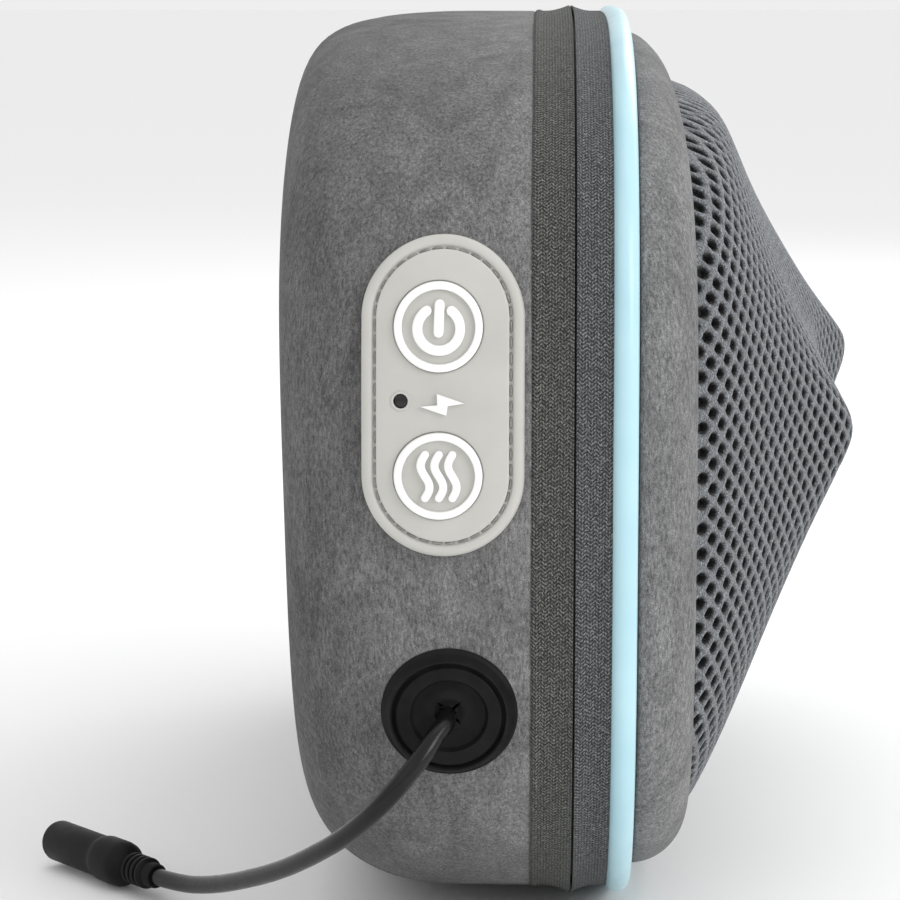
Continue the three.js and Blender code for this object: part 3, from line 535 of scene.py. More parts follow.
def rear_case():
    edge = TAPE_REAR_X + 0.6
    front = BACK_X + BACK_ROUND_X
    profile = back_arc(0, np.linspace(0, 90, 29)) + [(x, 0) for x in np.linspace(front, edge - 1.2, 9)[1:]]
    profile += arc_profile((edge - 1.2, 1.2), (1.2, 1.2), 90, 0, 5)[1:]
    profile += [(edge, WALL), (front, WALL)] + back_arc(WALL, np.linspace(90, 0, 13))[1:]
    points = swept(profile, wobble=(38, 0.55))
    faces = grid_faces(len(profile), ROUND_STEPS, wrap_columns=True)
    # the flat back: rings that shrink to its middle, outside and inside
    extra = []
    for start, x in ((0, BACK_X), ((len(profile) - 1) * ROUND_STEPS, BACK_X + WALL)):
        previous = start
        ring = points[start:start + ROUND_STEPS]
        for share in (0.85, 0.65, 0.4, 0.15):
            base = len(points) + len(extra)
            for p in ring:
                extra.append((x, p[1] * share, CENTRE_Z + (p[2] - CENTRE_Z) * share))
            faces += row_faces(previous, base, ROUND_STEPS)
            previous = base
        faces.append(tuple(previous + k for k in range(ROUND_STEPS)))
    points = lean_back(np.vstack([points, extra]))
    piece = new_piece("rear_case_suede", points, faces, SUEDE)
    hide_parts("rear_shell")
    return piece


case_piece = rear_case()


# ---------------- zipper
def tape_profile(outer_edge, closure):
    """One half of the zipper tape: flat from its sewn edge, then rising to the closure."""
    run = []
    side = 1 if closure > outer_edge else -1
    for share in np.linspace(0, 1, 33):
        x = outer_edge + (closure - outer_edge) * share
        rise = TAPE_RIDGE * max(0.0, (share - 0.35) / 0.65) ** 1.7
        rise += 0.28 * math.sin(math.pi * min(1.0, share / 0.2)) if side > 0 else 0.0
        run.append((x, -rise - 0.15))
    lip = [(closure + 0.12 * side, -TAPE_RIDGE + 0.25), (closure, 1.0)]
    back = [(outer_edge, 1.1), (outer_edge - 0.25 * side, 0.4)]
    return run + lip + back


def zipper():
    halves = [
        ("zipper_tape_rear_weave", TAPE_REAR_X + 0.3, ZIP_X - 0.32, TAPE_REAR, "zipper_tape_rear"),
        ("zipper_tape_front_weave", TAPE_FRONT_X + 0.3, ZIP_X + 0.32, TAPE_FRONT, "zipper_tape_front"),
    ]
    for name, start, end, material, node in halves:
        piece = ring_piece(name, tape_profile(start, end), material)
        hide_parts(node)


zipper()


# ---------------- piping and front rim
def piping():
    profile = []
    for turn in np.linspace(0, 2 * math.pi, 28, endpoint=False):
        inset = PIPING_RADIUS - PIPING_PROUD - PIPING_RADIUS * math.sin(turn)
        profile.append((PIPING_X + PIPING_RADIUS * math.cos(turn), inset))
    piece = ring_piece("piping_cord", profile, PIPING, wobble=(30, 0.25))
    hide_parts("piping")


piping()


def rim_lean(z):
    return RIM_LEAN * np.clip((np.asarray(z) - CENTRE_Z) / HALF_HEIGHT, 0, 1) ** 4.5


def front_rim():
    start = PIPING_X + PIPING_RADIUS + 0.05
    depth, fall = RIM_X - start, RIM_INSET - RIM_STEP
    outer = [(start, RIM_STEP + 2.2), (start, RIM_STEP + 0.7)]
    outer += arc_profile((start, RIM_INSET), (depth, fall), 88, 4, 26)
    lip = arc_profile((RIM_X - 1.3, RIM_INSET - 0.3), (1.3, 1.3), -10, -90, 4)
    inner = arc_profile((start, RIM_INSET), (depth - WALL, fall - WALL), 6, 90, 10)
    profile = outer + lip + inner
    piece = ring_piece("front_rim_suede", profile, SUEDE, wobble=(30, 0.5))
    for vert in piece.data.vertices:
        share = min(1, max(0, (vert.co.x / MM - start) / depth))
        vert.co.x -= float(rim_lean(vert.co.z / MM)) * share * MM
    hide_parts("front_rim")


front_rim()


# ---------------- mesh front
TOP_SHOULDER = 15  # the mesh bulges from its seam by this much along the top
END_SHOULDER = 7  # and by this much at the two ends
SEAM_DIP = 1.1  # the mesh turns down under the rim by this much
SLOPE_POWER = 0.8
PEAK_ROUND = 0.07  # how far from a peak its rounded tip ends


def gauge(y, z, centre, edge):
    """0 at the peak, 1 at the rim, for arrays of points."""
    cy, cz, _ = centre
    low, high = np.zeros_like(y), np.ones_like(y)
    for _ in range(22):
        middle = (low + high) / 2
        py = (cy + (y - cy) / middle) / (HALF_LENGTH - edge)
        pz = (cz + (z - cz) / middle - CENTRE_Z) / (HALF_HEIGHT - edge)
        outside = np.abs(py) ** CORNER_POWER + np.abs(pz) ** CORNER_POWER > 1
        low = np.where(outside, middle, low)
        high = np.where(outside, high, middle)
    return high


def peak_fall(share):
    return np.hypot(share, PEAK_ROUND) ** SLOPE_POWER - PEAK_ROUND ** SLOPE_POWER


def dome_height(y, z, edge=RIM_INSET + 0.3):
    y, z = np.asarray(y, float), np.asarray(z, float)
    total = np.zeros_like(y)
    for peak in PEAKS:
        g = gauge(y, z, peak, edge)
        rise = peak[2] * (1 - peak_fall(g) / peak_fall(1))
        rise = rise + TOP_SHOULDER * (1 - g ** 24) * np.clip((z - CENTRE_Z) / HALF_HEIGHT, 0, 1) ** 3.2
        rise = rise + END_SHOULDER * (1 - g ** 6) * np.clip(np.abs(y) / HALF_LENGTH, 0, 1) ** 2.5
        total += np.maximum(rise, 0) ** 6
    return total ** (1 / 6)


HOLE_PITCH_Y, HOLE_PITCH_Z = 6.5, 5.2
HOLE_HALF_Y, HOLE_HALF_Z = 1.7, 1.2
SPOKES = 12  # points round each hole
OPEN_REACH = 1.004  # cells whose middle lies further out than this share of the opening are closed
# rings from the yarn's crown to the bottom of the hole: (share of the way to the hole, depth)
HOLE_RINGS = [(0.0, 0.0), (0.45, 0.06), (0.8, 0.32), (1.0, 0.75), (1.08, 1.5), (1.0, 2.3)]


def superellipse(u, v):
    return (np.abs(u) ** CORNER_POWER + np.abs(v) ** CORNER_POWER) ** (1 / CORNER_POWER)


def cell_edge():
    """The hexagon between neighbouring holes: its corners and the middles of its sides."""
    side = HOLE_PITCH_Y / 2
    half = HOLE_PITCH_Z / 2
    limit = (side * side + half * half) / 2
    tip = limit / side
    shoulder = (limit - half * half) / side
    corners = [(tip, 0), (shoulder, half), (-shoulder, half)]
    corners += [(-y, -z) for y, z in corners]
    points = []
    for i, a in enumerate(corners):
        b = corners[(i + 1) % 6]
        points += [a, ((a[0] + b[0]) / 2, (a[1] + b[1]) / 2)]
    return np.array(points)


def mesh_front():
    edge_inset = RIM_INSET + 0.35
    hexagon = cell_edge()
    turn = np.arctan2(hexagon[:, 1] / HOLE_HALF_Z, hexagon[:, 0] / HOLE_HALF_Y)
    hole = np.c_[HOLE_HALF_Y * np.cos(turn), HOLE_HALF_Z * np.sin(turn)]
    centres = []
    rows = int(HALF_HEIGHT / (HOLE_PITCH_Z / 2)) + 1
    columns = int(HALF_LENGTH / HOLE_PITCH_Y) + 1
    for row in range(-rows, rows + 1):
        for column in range(-columns, columns + 1):
            centres.append(((column + 0.5 * (row % 2)) * HOLE_PITCH_Y, CENTRE_Z + row * HOLE_PITCH_Z / 2))
    centres = np.array(centres)
    half_y, half_z = HALF_LENGTH - edge_inset, HALF_HEIGHT - edge_inset
    reaches = superellipse(centres[:, 0] / half_y, (centres[:, 1] - CENTRE_Z) / half_z)
    flat, drops, faces = [], [], []
    for (cy, cz), reach in zip(centres, reaches):
        if superellipse(max(0, abs(cy) - 3) / half_y, max(0, abs(cz - CENTRE_Z) - 2.8) / half_z) > 1:
            continue
        start = len(flat)
        cell_rings = HOLE_RINGS if reach < OPEN_REACH else HOLE_RINGS[:2]
        for share, depth in cell_rings:
            outline = hexagon + (hole - hexagon) * share
            flat += [(cy + p[0], cz + p[1]) for p in outline]
            drops += [depth] * SPOKES
        faces += grid_faces(len(cell_rings), SPOKES, False, True, start)
        if reach >= OPEN_REACH:
            faces.append(tuple(range(start + SPOKES, start + 2 * SPOKES)))
    flat, drops = np.array(flat), np.array(drops)
    # cells that cross the rim are pulled back to it
    y, z = flat[:, 0], flat[:, 1] - CENTRE_Z
    size = superellipse(y / half_y, z / half_z)
    pull = np.where(size > 1, 1 / np.maximum(size, 1e-6), 1)
    y, z = y * pull, z * pull + CENTRE_Z
    points = on_dome(y, z, drops)
    mesh = bpy.data.meshes.new("mesh_front")
    mesh.from_pydata([tuple(p) for p in points * MM], [], faces)
    mesh.attributes.new("depth", "FLOAT", "POINT").data.foreach_set("value", drops.astype(np.float32))
    mesh.materials.append(MESH)
    work = bmesh.new()
    work.from_mesh(mesh)
    bmesh.ops.remove_doubles(work, verts=work.verts, dist=0.02 * MM)
    bmesh.ops.dissolve_degenerate(work, edges=work.edges, dist=0.005 * MM)
    bmesh.ops.recalc_face_normals(work, faces=work.faces)
    work.to_mesh(mesh)
    work.free()
    mesh.shade_smooth()
    piece = add_object("mesh_front", mesh)
    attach(piece, "case")
    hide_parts("mesh_cover")


def seam_sink(y, z, height):
    """How far the seam's dip and the rim's lean draw the mesh back."""
    seam = superellipse(y / (HALF_LENGTH - RIM_INSET), (z - CENTRE_Z) / (HALF_HEIGHT - RIM_INSET))
    return SEAM_DIP * np.clip(seam, 0, 1) ** 70 + rim_lean(z) * np.clip(1 - height / 30, 0, 1)


def on_dome(y, z, drop):
    """Points on the mesh front, sunk below its surface by drop."""
    step = 0.4
    height = dome_height(y, z)
    slope_y = (dome_height(y + step, z) - dome_height(y - step, z)) / (2 * step)
    slope_z = (dome_height(y, z + step) - dome_height(y, z - step)) / (2 * step)
    slope_y, slope_z = np.clip(slope_y, -2, 2), np.clip(slope_z, -2, 2)
    normal = np.c_[np.ones_like(height), -slope_y, -slope_z]
    normal /= np.linalg.norm(normal, axis=1)[:, None]
    surface = np.c_[RIM_X + height - seam_sink(y, z, height), y, z]
    return surface - normal * np.asarray(drop)[:, None]


mesh_front()


def lining():
    """The dark cloth under the mesh, a thin closed sheet with an outer and an inner face."""
    rings = 40
    columns = 192
    rim = [outline_point(2 * math.pi * k / columns, RIM_INSET + 0.6) for k in range(columns)]
    shares = [i / rings for i in range(1, rings + 1)]
    y = np.array([ey * share for share in shares for ey, _ in rim] + [0])
    z = np.array([CENTRE_Z + (ez - CENTRE_Z) * share for share in shares for _, ez in rim] + [CENTRE_Z])
    height = dome_height(y, z)
    top = RIM_X + height - seam_sink(y, z, height)
    points = np.vstack([np.c_[top - depth, y, z] for depth in (2.6, 3.6)])
    layer = rings * columns + 1
    faces = []
    for base in (0, layer):
        faces += grid_faces(rings, columns, False, True, base)
        faces += [(base + layer - 1, base + (k + 1) % columns, base + k) for k in range(columns)]
    edge = (rings - 1) * columns
    faces += row_faces(edge, layer + edge, columns)
    piece = new_piece("cover_lining_cloth", points, faces, LINING)
    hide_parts("cover_lining")


lining()


# ---------------- cord
GROMMET_TILT = math.atan((end_face_y(GROMMET_Z + 1) - end_face_y(GROMMET_Z - 1)) / -2)
GROMMET_FRAME = Matrix.Translation((GROMMET_X, end_face_y(GROMMET_Z), GROMMET_Z)) @ Matrix.Rotation(
    GROMMET_TILT, 4, "X"
)
LEAD_HOLE = (-0.6, -0.6)


def bore_case():
    """The round hole in the case wall that the grommet's neck passes through."""
    radius = 9.7
    drill = bmesh.new()
    place = GROMMET_FRAME @ Matrix.Rotation(math.pi / 2, 4, "X")
    place.translation = place.translation * MM
    bmesh.ops.create_cone(drill, cap_ends=True, segments=64, radius1=radius * MM, radius2=radius * MM,
                          depth=24 * MM, matrix=place)
    mesh = bpy.data.meshes.new("drill")
    drill.to_mesh(mesh)
    drill.free()
    tool = add_object("drill", mesh)
    cut = case_piece.modifiers.new("bore", "BOOLEAN")
    cut.operation = "DIFFERENCE"
    cut.object = tool
    drilled = baked(case_piece)
    case_piece.modifiers.clear()
    case_piece.data = drilled
    smooth_by_angle(case_piece, 50)
    bpy.data.objects.remove(tool)
    bpy.data.meshes.remove(mesh)


bore_case()


def lead_at(out):
    """A point on the lead's line through the grommet, in millimetres."""
    return GROMMET_FRAME @ Vector((LEAD_HOLE[0], -out, LEAD_HOLE[1]))


LEAD_ROUTE = [
    lead_at(-8),
    lead_at(-4),
    lead_at(0),
    lead_at(4),
    (-32.4, -166.2, 53.8),
    (-34.6, -168.8, 50.8),
    (-37.9, -170.8, 46.8),
    (-43.2, -170.6, 40.6),
    (-50.2, -164.6, 33.0),
    (-57.6, -155.2, 26.2),
    (-65.4, -143.8, 19.8),
    (-73.7, -131.0, 14.1),
    (-81.6, -118.6, 9.4),
    (-88.4, -108.6, 6.5),
    (-94.6, -100.8, 5.4),
    (-98.6, -96.2, 5.3),
]


def route_length(points):
    return sum((Vector(b) - Vector(a)).length for a, b in zip(points, points[1:]))


def catmull(points, steps):
    """Centripetal Catmull-Rom points through the route, steps between each pair."""
    knots = [Vector(p) for p in points]
    knots = [knots[0] * 2 - knots[1]] + knots + [knots[-1] * 2 - knots[-2]]
    made = []
    for p0, p1, p2, p3 in zip(knots, knots[1:], knots[2:], knots[3:]):
        t0 = 0
        t1 = t0 + (p1 - p0).length ** 0.5
        t2 = t1 + (p2 - p1).length ** 0.5
        t3 = t2 + (p3 - p2).length ** 0.5
        for i in range(steps):
            t = t1 + (t2 - t1) * i / steps
            a1 = p0 * ((t1 - t) / (t1 - t0)) + p1 * ((t - t0) / (t1 - t0))
            a2 = p1 * ((t2 - t) / (t2 - t1)) + p2 * ((t - t1) / (t2 - t1))
            a3 = p2 * ((t3 - t) / (t3 - t2)) + p3 * ((t - t2) / (t3 - t2))
            b1 = a1 * ((t2 - t) / (t2 - t0)) + a2 * ((t - t0) / (t2 - t0))
            b2 = a2 * ((t3 - t) / (t3 - t1)) + a3 * ((t - t1) / (t3 - t1))
            made.append(b1 * ((t2 - t) / (t2 - t1)) + b2 * ((t - t1) / (t2 - t1)))
    made.append(knots[-2])
    return made


def lead():
    """The lead as a round curve along its route, and its length in metres."""
    fine = catmull(LEAD_ROUTE, 4)
    data = bpy.data.curves.new("charging_lead", "CURVE")
    data.dimensions = "3D"
    data.bevel_depth = CABLE_RADIUS * MM
    data.bevel_resolution = 8
    data.use_fill_caps = True
    spline = data.splines.new("POLY")
    spline.points.add(len(fine) - 1)
    for point, place in zip(spline.points, fine):
        point.co = (*(place * MM), 1)
    spline.use_smooth = True
    data.materials.append(JACKET)
    piece = add_object("charging_lead", data)
    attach(piece, "case")
    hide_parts("dc_cable")
    return piece, route_length(fine) * MM


lead_piece, lead_length = lead()


# ---------------- turned pieces
def turned(name, profile, place, material, segments=64, body="case", sharp=35):
    """A profile of (radius, station) turned round the local Y axis, then put in place."""
    points = []
    for radius, station in profile:
        for cos, sin in round_turns(segments):
            points.append(place @ Vector((radius * cos, station, radius * sin)))
    closed = profile[0] == profile[-1]
    if closed:
        faces = grid_faces(len(profile), segments, wrap_columns=True)
    else:
        faces = tube_faces(len(profile), segments)
    piece = new_piece(name, points, faces, material, body=body)
    if closed:
        weld(piece)
    smooth_by_angle(piece, sharp)
    return piece


def weld(piece):
    work = bmesh.new()
    work.from_mesh(piece.data)
    bmesh.ops.remove_doubles(work, verts=work.verts, dist=0.001 * MM)
    bmesh.ops.recalc_face_normals(work, faces=work.faces)
    work.to_mesh(piece.data)
    work.free()


def jack():
    """The socket on the lead's end: ribbed relief, grip bulge and barrel, with a metal liner."""
    end = Vector(LEAD_ROUTE[-1])
    ahead = Vector((-0.657, 0.754, 0)).normalized()
    place = facing(end + ahead * 0.4, ahead)
    profile = [(2.05, -3.2), (2.5, -3.3), (2.75, -2.9), (2.8, -0.4)]
    for i in range(4):  # the relief's ribs
        at = i * 1.75
        profile += [(3.45, at), (3.55, at + 0.25), (3.55, at + 0.85), (3.45, at + 1.05), (2.9, at + 1.2),
                    (2.9, at + 1.6)]
    profile += [(3.6, 7.4), (4.3, 8.3), (5.0, 9.6), (5.2, 11), (5.2, 16.4), (5.05, 17.4), (4.75, 18.2),
                (4.65, 18.6), (4.72, 20), (4.72, JACK_LENGTH - 1), (4.5, JACK_LENGTH - 0.35),
                (4.1, JACK_LENGTH), (3.2, JACK_LENGTH), (3.0, JACK_LENGTH - 0.4),
                (2.85, JACK_LENGTH - 1), (2.85, JACK_LENGTH - 10.5), (0.02, JACK_LENGTH - 10.6)]
    body = turned("charging_socket", [(0.02, -3.2)] + profile, place, RUBBER, sharp=50)
    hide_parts("dc_jack_body")
    liner = turned("charging_socket_liner",
                   [(2.3, JACK_LENGTH - 10), (2.8, JACK_LENGTH - 10), (2.8, JACK_LENGTH - 0.7),
                    (2.3, JACK_LENGTH - 0.7), (2.3, JACK_LENGTH - 10)], place, STEEL, 40)
    return body, liner


jack_body, jack_liner = jack()


# ---------------- grommet
def back_inset(x, z):
    """How far the back rounding draws the case in at station x and height z."""
    stretch = 1 + BACK_LEAN / BACK_ROUND_X * (z - CENTRE_Z) / HALF_HEIGHT
    share = (BACK_X + BACK_ROUND_X - x) / (BACK_ROUND_X * stretch)
    if share <= 0:
        return 0.0
    return BACK_ROUND_IN * (1 - (1 - min(1.0, share) ** BACK_POWER) ** (1 / BACK_POWER))


def case_y(x, z):
    """The end face at (x, z)."""
    inset = back_inset(x, z)
    rise = (abs(z - CENTRE_Z) / (HALF_HEIGHT - inset)) ** CORNER_POWER
    return -(HALF_LENGTH - inset) * max(0.0, 1 - rise) ** (1 / CORNER_POWER)


def wrapped(points):
    """Points (x, z, lift) laid on the end face, each lifted along the face's normal.

    Beside a key the lift below the pad's top runs straight along Y, so that the key can slide.
    """
    made = []
    for x, z, lift in points:
        step = 0.5
        slope_x = (case_y(x + step, z) - case_y(x - step, z)) / (2 * step)
        slope_z = (case_y(x, z + step) - case_y(x, z - step)) / (2 * step)
        normal = Vector((slope_x, -1, slope_z)).normalized()
        base = Vector((x, case_y(x, z), z))
        if min(math.hypot(x - KEY_X, z - key_z) for key_z in (POWER_Z, HEAT_Z)) < KEY_RADIUS + 1:
            made.append(base + normal * TOP + Vector((0, (lift - TOP) / normal.y, 0)))
        else:
            made.append(base + normal * lift)
    return made


def grommet():
    """The stepped rubber ring: its flange sits on the case and its neck goes through the wall."""
    profile = [
        (0.0, 0.2), (0.9, 0.3), (1.7, 0.9), (2.5, 1.9), (3.1, 2.45), (3.6, 2.5), (4.0, 2.2),
        (4.15, 1.6), (4.3, 1.45), (4.9, 1.55), (5.15, 1.75), (5.3, 2.3), (5.6, 2.45), (6.6, 2.2),
        (8.6, 1.95), (9.6, 1.95), (9.9, 1.7), (10.1, 1.2), (10.6, 0.9), (10.7, -1.6),
    ]
    bore = 7.2
    reach = (GROMMET_RADIUS - bore) / profile[-1][0]
    segments = 96
    turns = round_turns(segments)
    points = []
    for inward, lift in profile:
        radius = GROMMET_RADIUS - inward * reach
        blend = min(1.0, max(0.0, (radius - 9.5) / 4.0))  # only the flange follows the case
        for cos, sin in turns:
            flat = GROMMET_FRAME @ Vector((radius * cos, -lift, radius * sin))
            z = GROMMET_Z + radius * sin * math.cos(GROMMET_TILT)
            seated = wrapped([(GROMMET_X + radius * cos, z, lift)])[0]
            points.append(flat.lerp(seated, blend * 0.9))
    faces = grid_faces(len(profile), segments, wrap_columns=True)
    # the underside closes the ring inside the wall
    under = len(points)
    points += [GROMMET_FRAME @ Vector((bore * cos, 3.5, bore * sin)) for cos, sin in turns]
    points += [points[k] + Vector((0, 2.4, 0)) for k in range(segments)]
    last = (len(profile) - 1) * segments
    for a, b in ((last, under), (under, under + segments), (under + segments, 0)):
        faces += row_faces(a, b, segments)
    piece = new_piece("cable_grommet_rubber", points, faces, RUBBER)
    smooth_by_angle(piece, 40)
    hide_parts("cable_grommet")


grommet()


def iris():
    """A dished rubber disc whose middle is cut crosswise, with the cut lifting a little at the lead."""
    outer = 7.4
    segments = 18
    rings = 14
    cut = 0.3
    points, faces = [], []
    for petal in range(4):
        start = len(points)
        for layer in (0, 1):
            for i in range(rings + 1):
                radius = 0.35 + (outer - 0.35) * i / rings
                opening = cut * min(1.0, max(0.0, (3.5 - radius) / 1.2)) + 0.004
                spare = math.asin(min(0.95, opening / radius))
                for k in range(segments + 1):
                    turn = math.pi / 4 + petal * math.pi / 2 + spare
                    turn += (math.pi / 2 - 2 * spare) * k / segments
                    dish = -1.5 * (1 - (radius / outer) ** 2) + 0.9
                    dish += 0.5 * math.exp(-((radius - 3.2) / 1.0) ** 2)
                    x, z = radius * math.cos(turn), radius * math.sin(turn)
                    away = math.hypot(x - LEAD_HOLE[0], z - LEAD_HOLE[1])
                    lift = 0.9 * math.exp(-(away / 3.2) ** 2)
                    if away < CABLE_RADIUS + 0.12:
                        push = (CABLE_RADIUS + 0.12) / max(away, 0.05)
                        x = LEAD_HOLE[0] + (x - LEAD_HOLE[0]) * push
                        z = LEAD_HOLE[1] + (z - LEAD_HOLE[1]) * push
                    points.append(GROMMET_FRAME @ Vector((x, -(dish + lift) + layer * 1.3, z)))
        width = segments + 1
        size = (rings + 1) * width
        for base in (start, start + size):
            faces += grid_faces(rings + 1, width, first=base)
        rim = [i * width for i in range(rings + 1)]
        rim += [rings * width + k for k in range(1, width)]
        rim += [i * width + segments for i in range(rings - 1, -1, -1)]
        rim += [k for k in range(segments - 1, 0, -1)]
        for i, a in enumerate(rim):
            b = rim[(i + 1) % len(rim)]
            faces.append((start + a, start + b, start + size + b, start + size + a))
    piece = new_piece("grommet_petals", points, faces, RUBBER)
    smooth_by_angle(piece, 50)
    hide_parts("grommet_iris")


iris()


# ---------------- control pad
def stadium_ring(inset, count=128):
    """Points (x, z) round the pad's outline, drawn in by inset, evenly spaced."""
    radius = PAD["width"] / 2
    straight = PAD["height"] - 2 * radius
    half = straight + math.pi * radius
    small = radius - inset
    points = []
    for i in range(count):
        second, run = divmod(2 * half * i / count, half)
        turn = max(0, run - straight) / radius
        x = small * math.cos(turn)
        z = min(run, straight) - straight / 2 + small * math.sin(turn)
        points.append((-x, -z) if second else (x, z))
    return [(PAD["x"] + x, PAD["z"] + z) for x, z in points]


def control_pad():
    """The pad's lip with the stitched groove, and its face with holes for the keys and the lamp."""
    count = 192
    lip = [
        (4.4, 0.1), (0.3, 0.0), (0.05, 0.35), (0.0, 0.9), (0.08, 1.6), (0.35, 2.15), (0.8, 2.4),
        (1.5, 2.45), (2.0, 2.35), (2.25, 2.1), (2.35, 1.75), (2.5, 1.6), (3.0, 1.55), (4.4, 1.55),
    ]
    points = []
    for inset, lift in lip:
        points += wrapped([(x, z, lift) for x, z in stadium_ring(inset, count)])
    ring = new_piece("control_pad_lip", points, grid_faces(len(lip), count, True, True), SILICONE)
    smooth_by_angle(ring, 45)
    holes = [circle_loop(KEY_RADIUS + 0.12, KEY_X, z) for z in (POWER_Z, HEAT_Z)]
    holes.append(circle_loop(LED_RADIUS + 0.05, LED_X, LED_Z, 32))
    loops = [stadium_ring(3.05, count)] + holes
    face = raised_outline("control_pad_face", loops, 0.3, TOP, "case", SILICONE, 0.4)
    for piece in (ring, face):
        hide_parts("control_pad")


def stitches():
    """Short thread stitches that lie in the pad's groove."""
    points, faces = [], []
    radius = PAD["width"] / 2
    total = 4 * (PAD["height"] / 2 - radius) + 2 * math.pi * radius
    number = int(total / 3.1)
    ring = stadium_ring(2.72, number * 12)
    sides = 8
    for s in range(number):
        first = len(points)
        stretch = ring[s * 12 + 1:s * 12 + 11]
        last = len(stretch) - 1
        heights = [1.42 + 0.4 * math.sin(math.pi * i / last) ** 0.5 for i in range(last + 1)]
        line = wrapped([(x, z, lift) for (x, z), lift in zip(stretch, heights)])
        for i, centre in enumerate(line):
            ahead = (line[min(i + 1, last)] - line[max(i - 1, 0)]).normalized()
            side = ahead.cross(Vector((0, 1, 0))).normalized()
            up = side.cross(ahead)
            points += [centre + side * cos * 0.24 + up * sin * 0.18 for cos, sin in round_turns(sides)]
        faces += tube_faces(last + 1, sides, first)
    piece = new_piece("pad_stitching", points, faces, THREAD)


# ---------------- keys and marks
def flat_mesh(name, loops, thick, soften, unit=1):
    """A flat plate inside the first outline, less the others, with its edges rounded by soften."""
    curve = bpy.data.curves.new(name, "CURVE")
    curve.dimensions = "2D"
    curve.fill_mode = "BOTH"
    for loop in loops:
        spline = curve.splines.new("POLY")
        spline.points.add(len(loop) - 1)
        for point, (x, z) in zip(spline.points, loop):
            point.co = (x * unit, z * unit, 0, 1)
        spline.use_cyclic_u = True
    curve.extrude = max(0.01, thick / 2 - soften) * unit
    curve.bevel_depth = soften * unit
    curve.bevel_resolution = 3
    curve.offset = -soften * unit
    holder = add_object(name + "_outline", curve)
    mesh = baked(holder)
    bpy.data.objects.remove(holder)
    bpy.data.curves.remove(curve)
    mesh.name = name
    return mesh


def finish_flat(name, mesh, body, material):
    mesh.materials.clear()
    mesh.materials.append(material)
    mesh.shade_smooth()
    piece = add_object(name, mesh)
    smooth_by_angle(piece, 50)
    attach(piece, body)
    return piece


def raised_outline(name, loops, low, high, body, material, soften=0.28):
    """A raised mark: a flat outline (with holes) wrapped on the end face, with soft top edges."""
    mesh = flat_mesh(name, loops, high - low, soften)
    work = bmesh.new()
    work.from_mesh(mesh)
    bmesh.ops.remove_doubles(work, verts=work.verts, dist=0.002)
    for axis, pitch in ((0, 4.0), (1, 2.0)):  # cross cuts let the flat face follow the case's curve
        along = [v.co[axis] for v in work.verts]
        normal = (1, 0, 0) if axis == 0 else (0, 1, 0)
        for at in np.arange(min(along) + pitch / 2, max(along), pitch):
            point = tuple(at * n for n in normal)
            everything = work.verts[:] + work.edges[:] + work.faces[:]
            bmesh.ops.bisect_plane(work, geom=everything, plane_co=point, plane_no=normal, dist=1e-4)
    bottom, top = min(v.co.z for v in work.verts), max(v.co.z for v in work.verts)
    places = wrapped([(v.co.x, v.co.y, low + (high - low) * (v.co.z - bottom) / (top - bottom))
                      for v in work.verts])
    for vert, place in zip(work.verts, places):
        vert.co = place * MM
    bmesh.ops.recalc_face_normals(work, faces=work.faces)
    work.to_mesh(mesh)
    work.free()
    return finish_flat(name, mesh, body, material)


def circle_loop(radius, x, z, count=96):
    return [(x + radius * cos, z + radius * sin) for cos, sin in round_turns(count)]


def stroke_loop(line, width, cap=8):
    """The outline of a stroke with round ends along a list of points."""
    line = [Vector((x, z)) for x, z in line]
    left, right = [], []
    for i, point in enumerate(line):
        ahead = (line[min(i + 1, len(line) - 1)] - line[max(i - 1, 0)]).normalized()
        side = Vector((-ahead.y, ahead.x)) * width / 2
        left.append(point + side)
        right.append(point - side)
    loop = list(left)
    for centre, start in ((line[-1], left[-1]), (line[0], right[0])):
        arm = start - centre
        for k in range(1, cap):
            turn = -math.pi * k / cap
            loop.append(centre + Vector((arm.x * math.cos(turn) - arm.y * math.sin(turn),
                                         arm.x * math.sin(turn) + arm.y * math.cos(turn))))
        if centre is line[-1]:
            loop += list(reversed(right))
    return [(p.x, p.y) for p in loop]


control_pad()
stitches()


def mark(name, loops, body, node):
    piece = raised_outline(name, loops, MARK_LOW, MARK_HIGH, body, WHITE)
    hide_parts(node)


def keys():
    for label, z, body in (("power", POWER_Z, "power_key"), ("heat", HEAT_Z, "heat_key")):
        face = raised_outline(f"{label}_key_face", [circle_loop(KEY_RADIUS + 0.06, KEY_X, z)], TOP - 1.0,
                              TOP, body, SILICONE, 0.05)
        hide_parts(f"{label}_key")
        outer, inner = circle_loop(KEY_RADIUS, KEY_X, z), circle_loop(KEY_RADIUS - KEY_RING_WIDTH, KEY_X, z)
        mark(f"{label}_ring_mark", [outer, inner], body, f"{label}_ring")
    radius, stroke = 4.15, 1.95
    arc = [(KEY_X + radius * math.sin(t), POWER_Z - 0.3 + radius * math.cos(t))
           for t in np.linspace(0.62, 2 * math.pi - 0.62, 48)]
    mark("power_arc_mark", [stroke_loop(arc, stroke)], "power_key", "power_arc")
    bar = [(KEY_X + 0.1, POWER_Z + 4.3), (KEY_X - 0.1, POWER_Z - 1.0)]
    mark("power_bar_mark", [stroke_loop(bar, stroke)], "power_key", "power_bar")
    for i, side in enumerate(("left", "middle", "right")):
        wave = [(KEY_X + (i - 1) * 2.65 - 0.85 * math.sin(t * 2 * math.pi), HEAT_Z + 4.3 - 8.6 * t)
                for t in np.linspace(0, 1, 28)]
        mark(f"heat_wave_{side}_mark", [stroke_loop(wave, 1.6)], "heat_key", f"heat_wave_{side}")


keys()


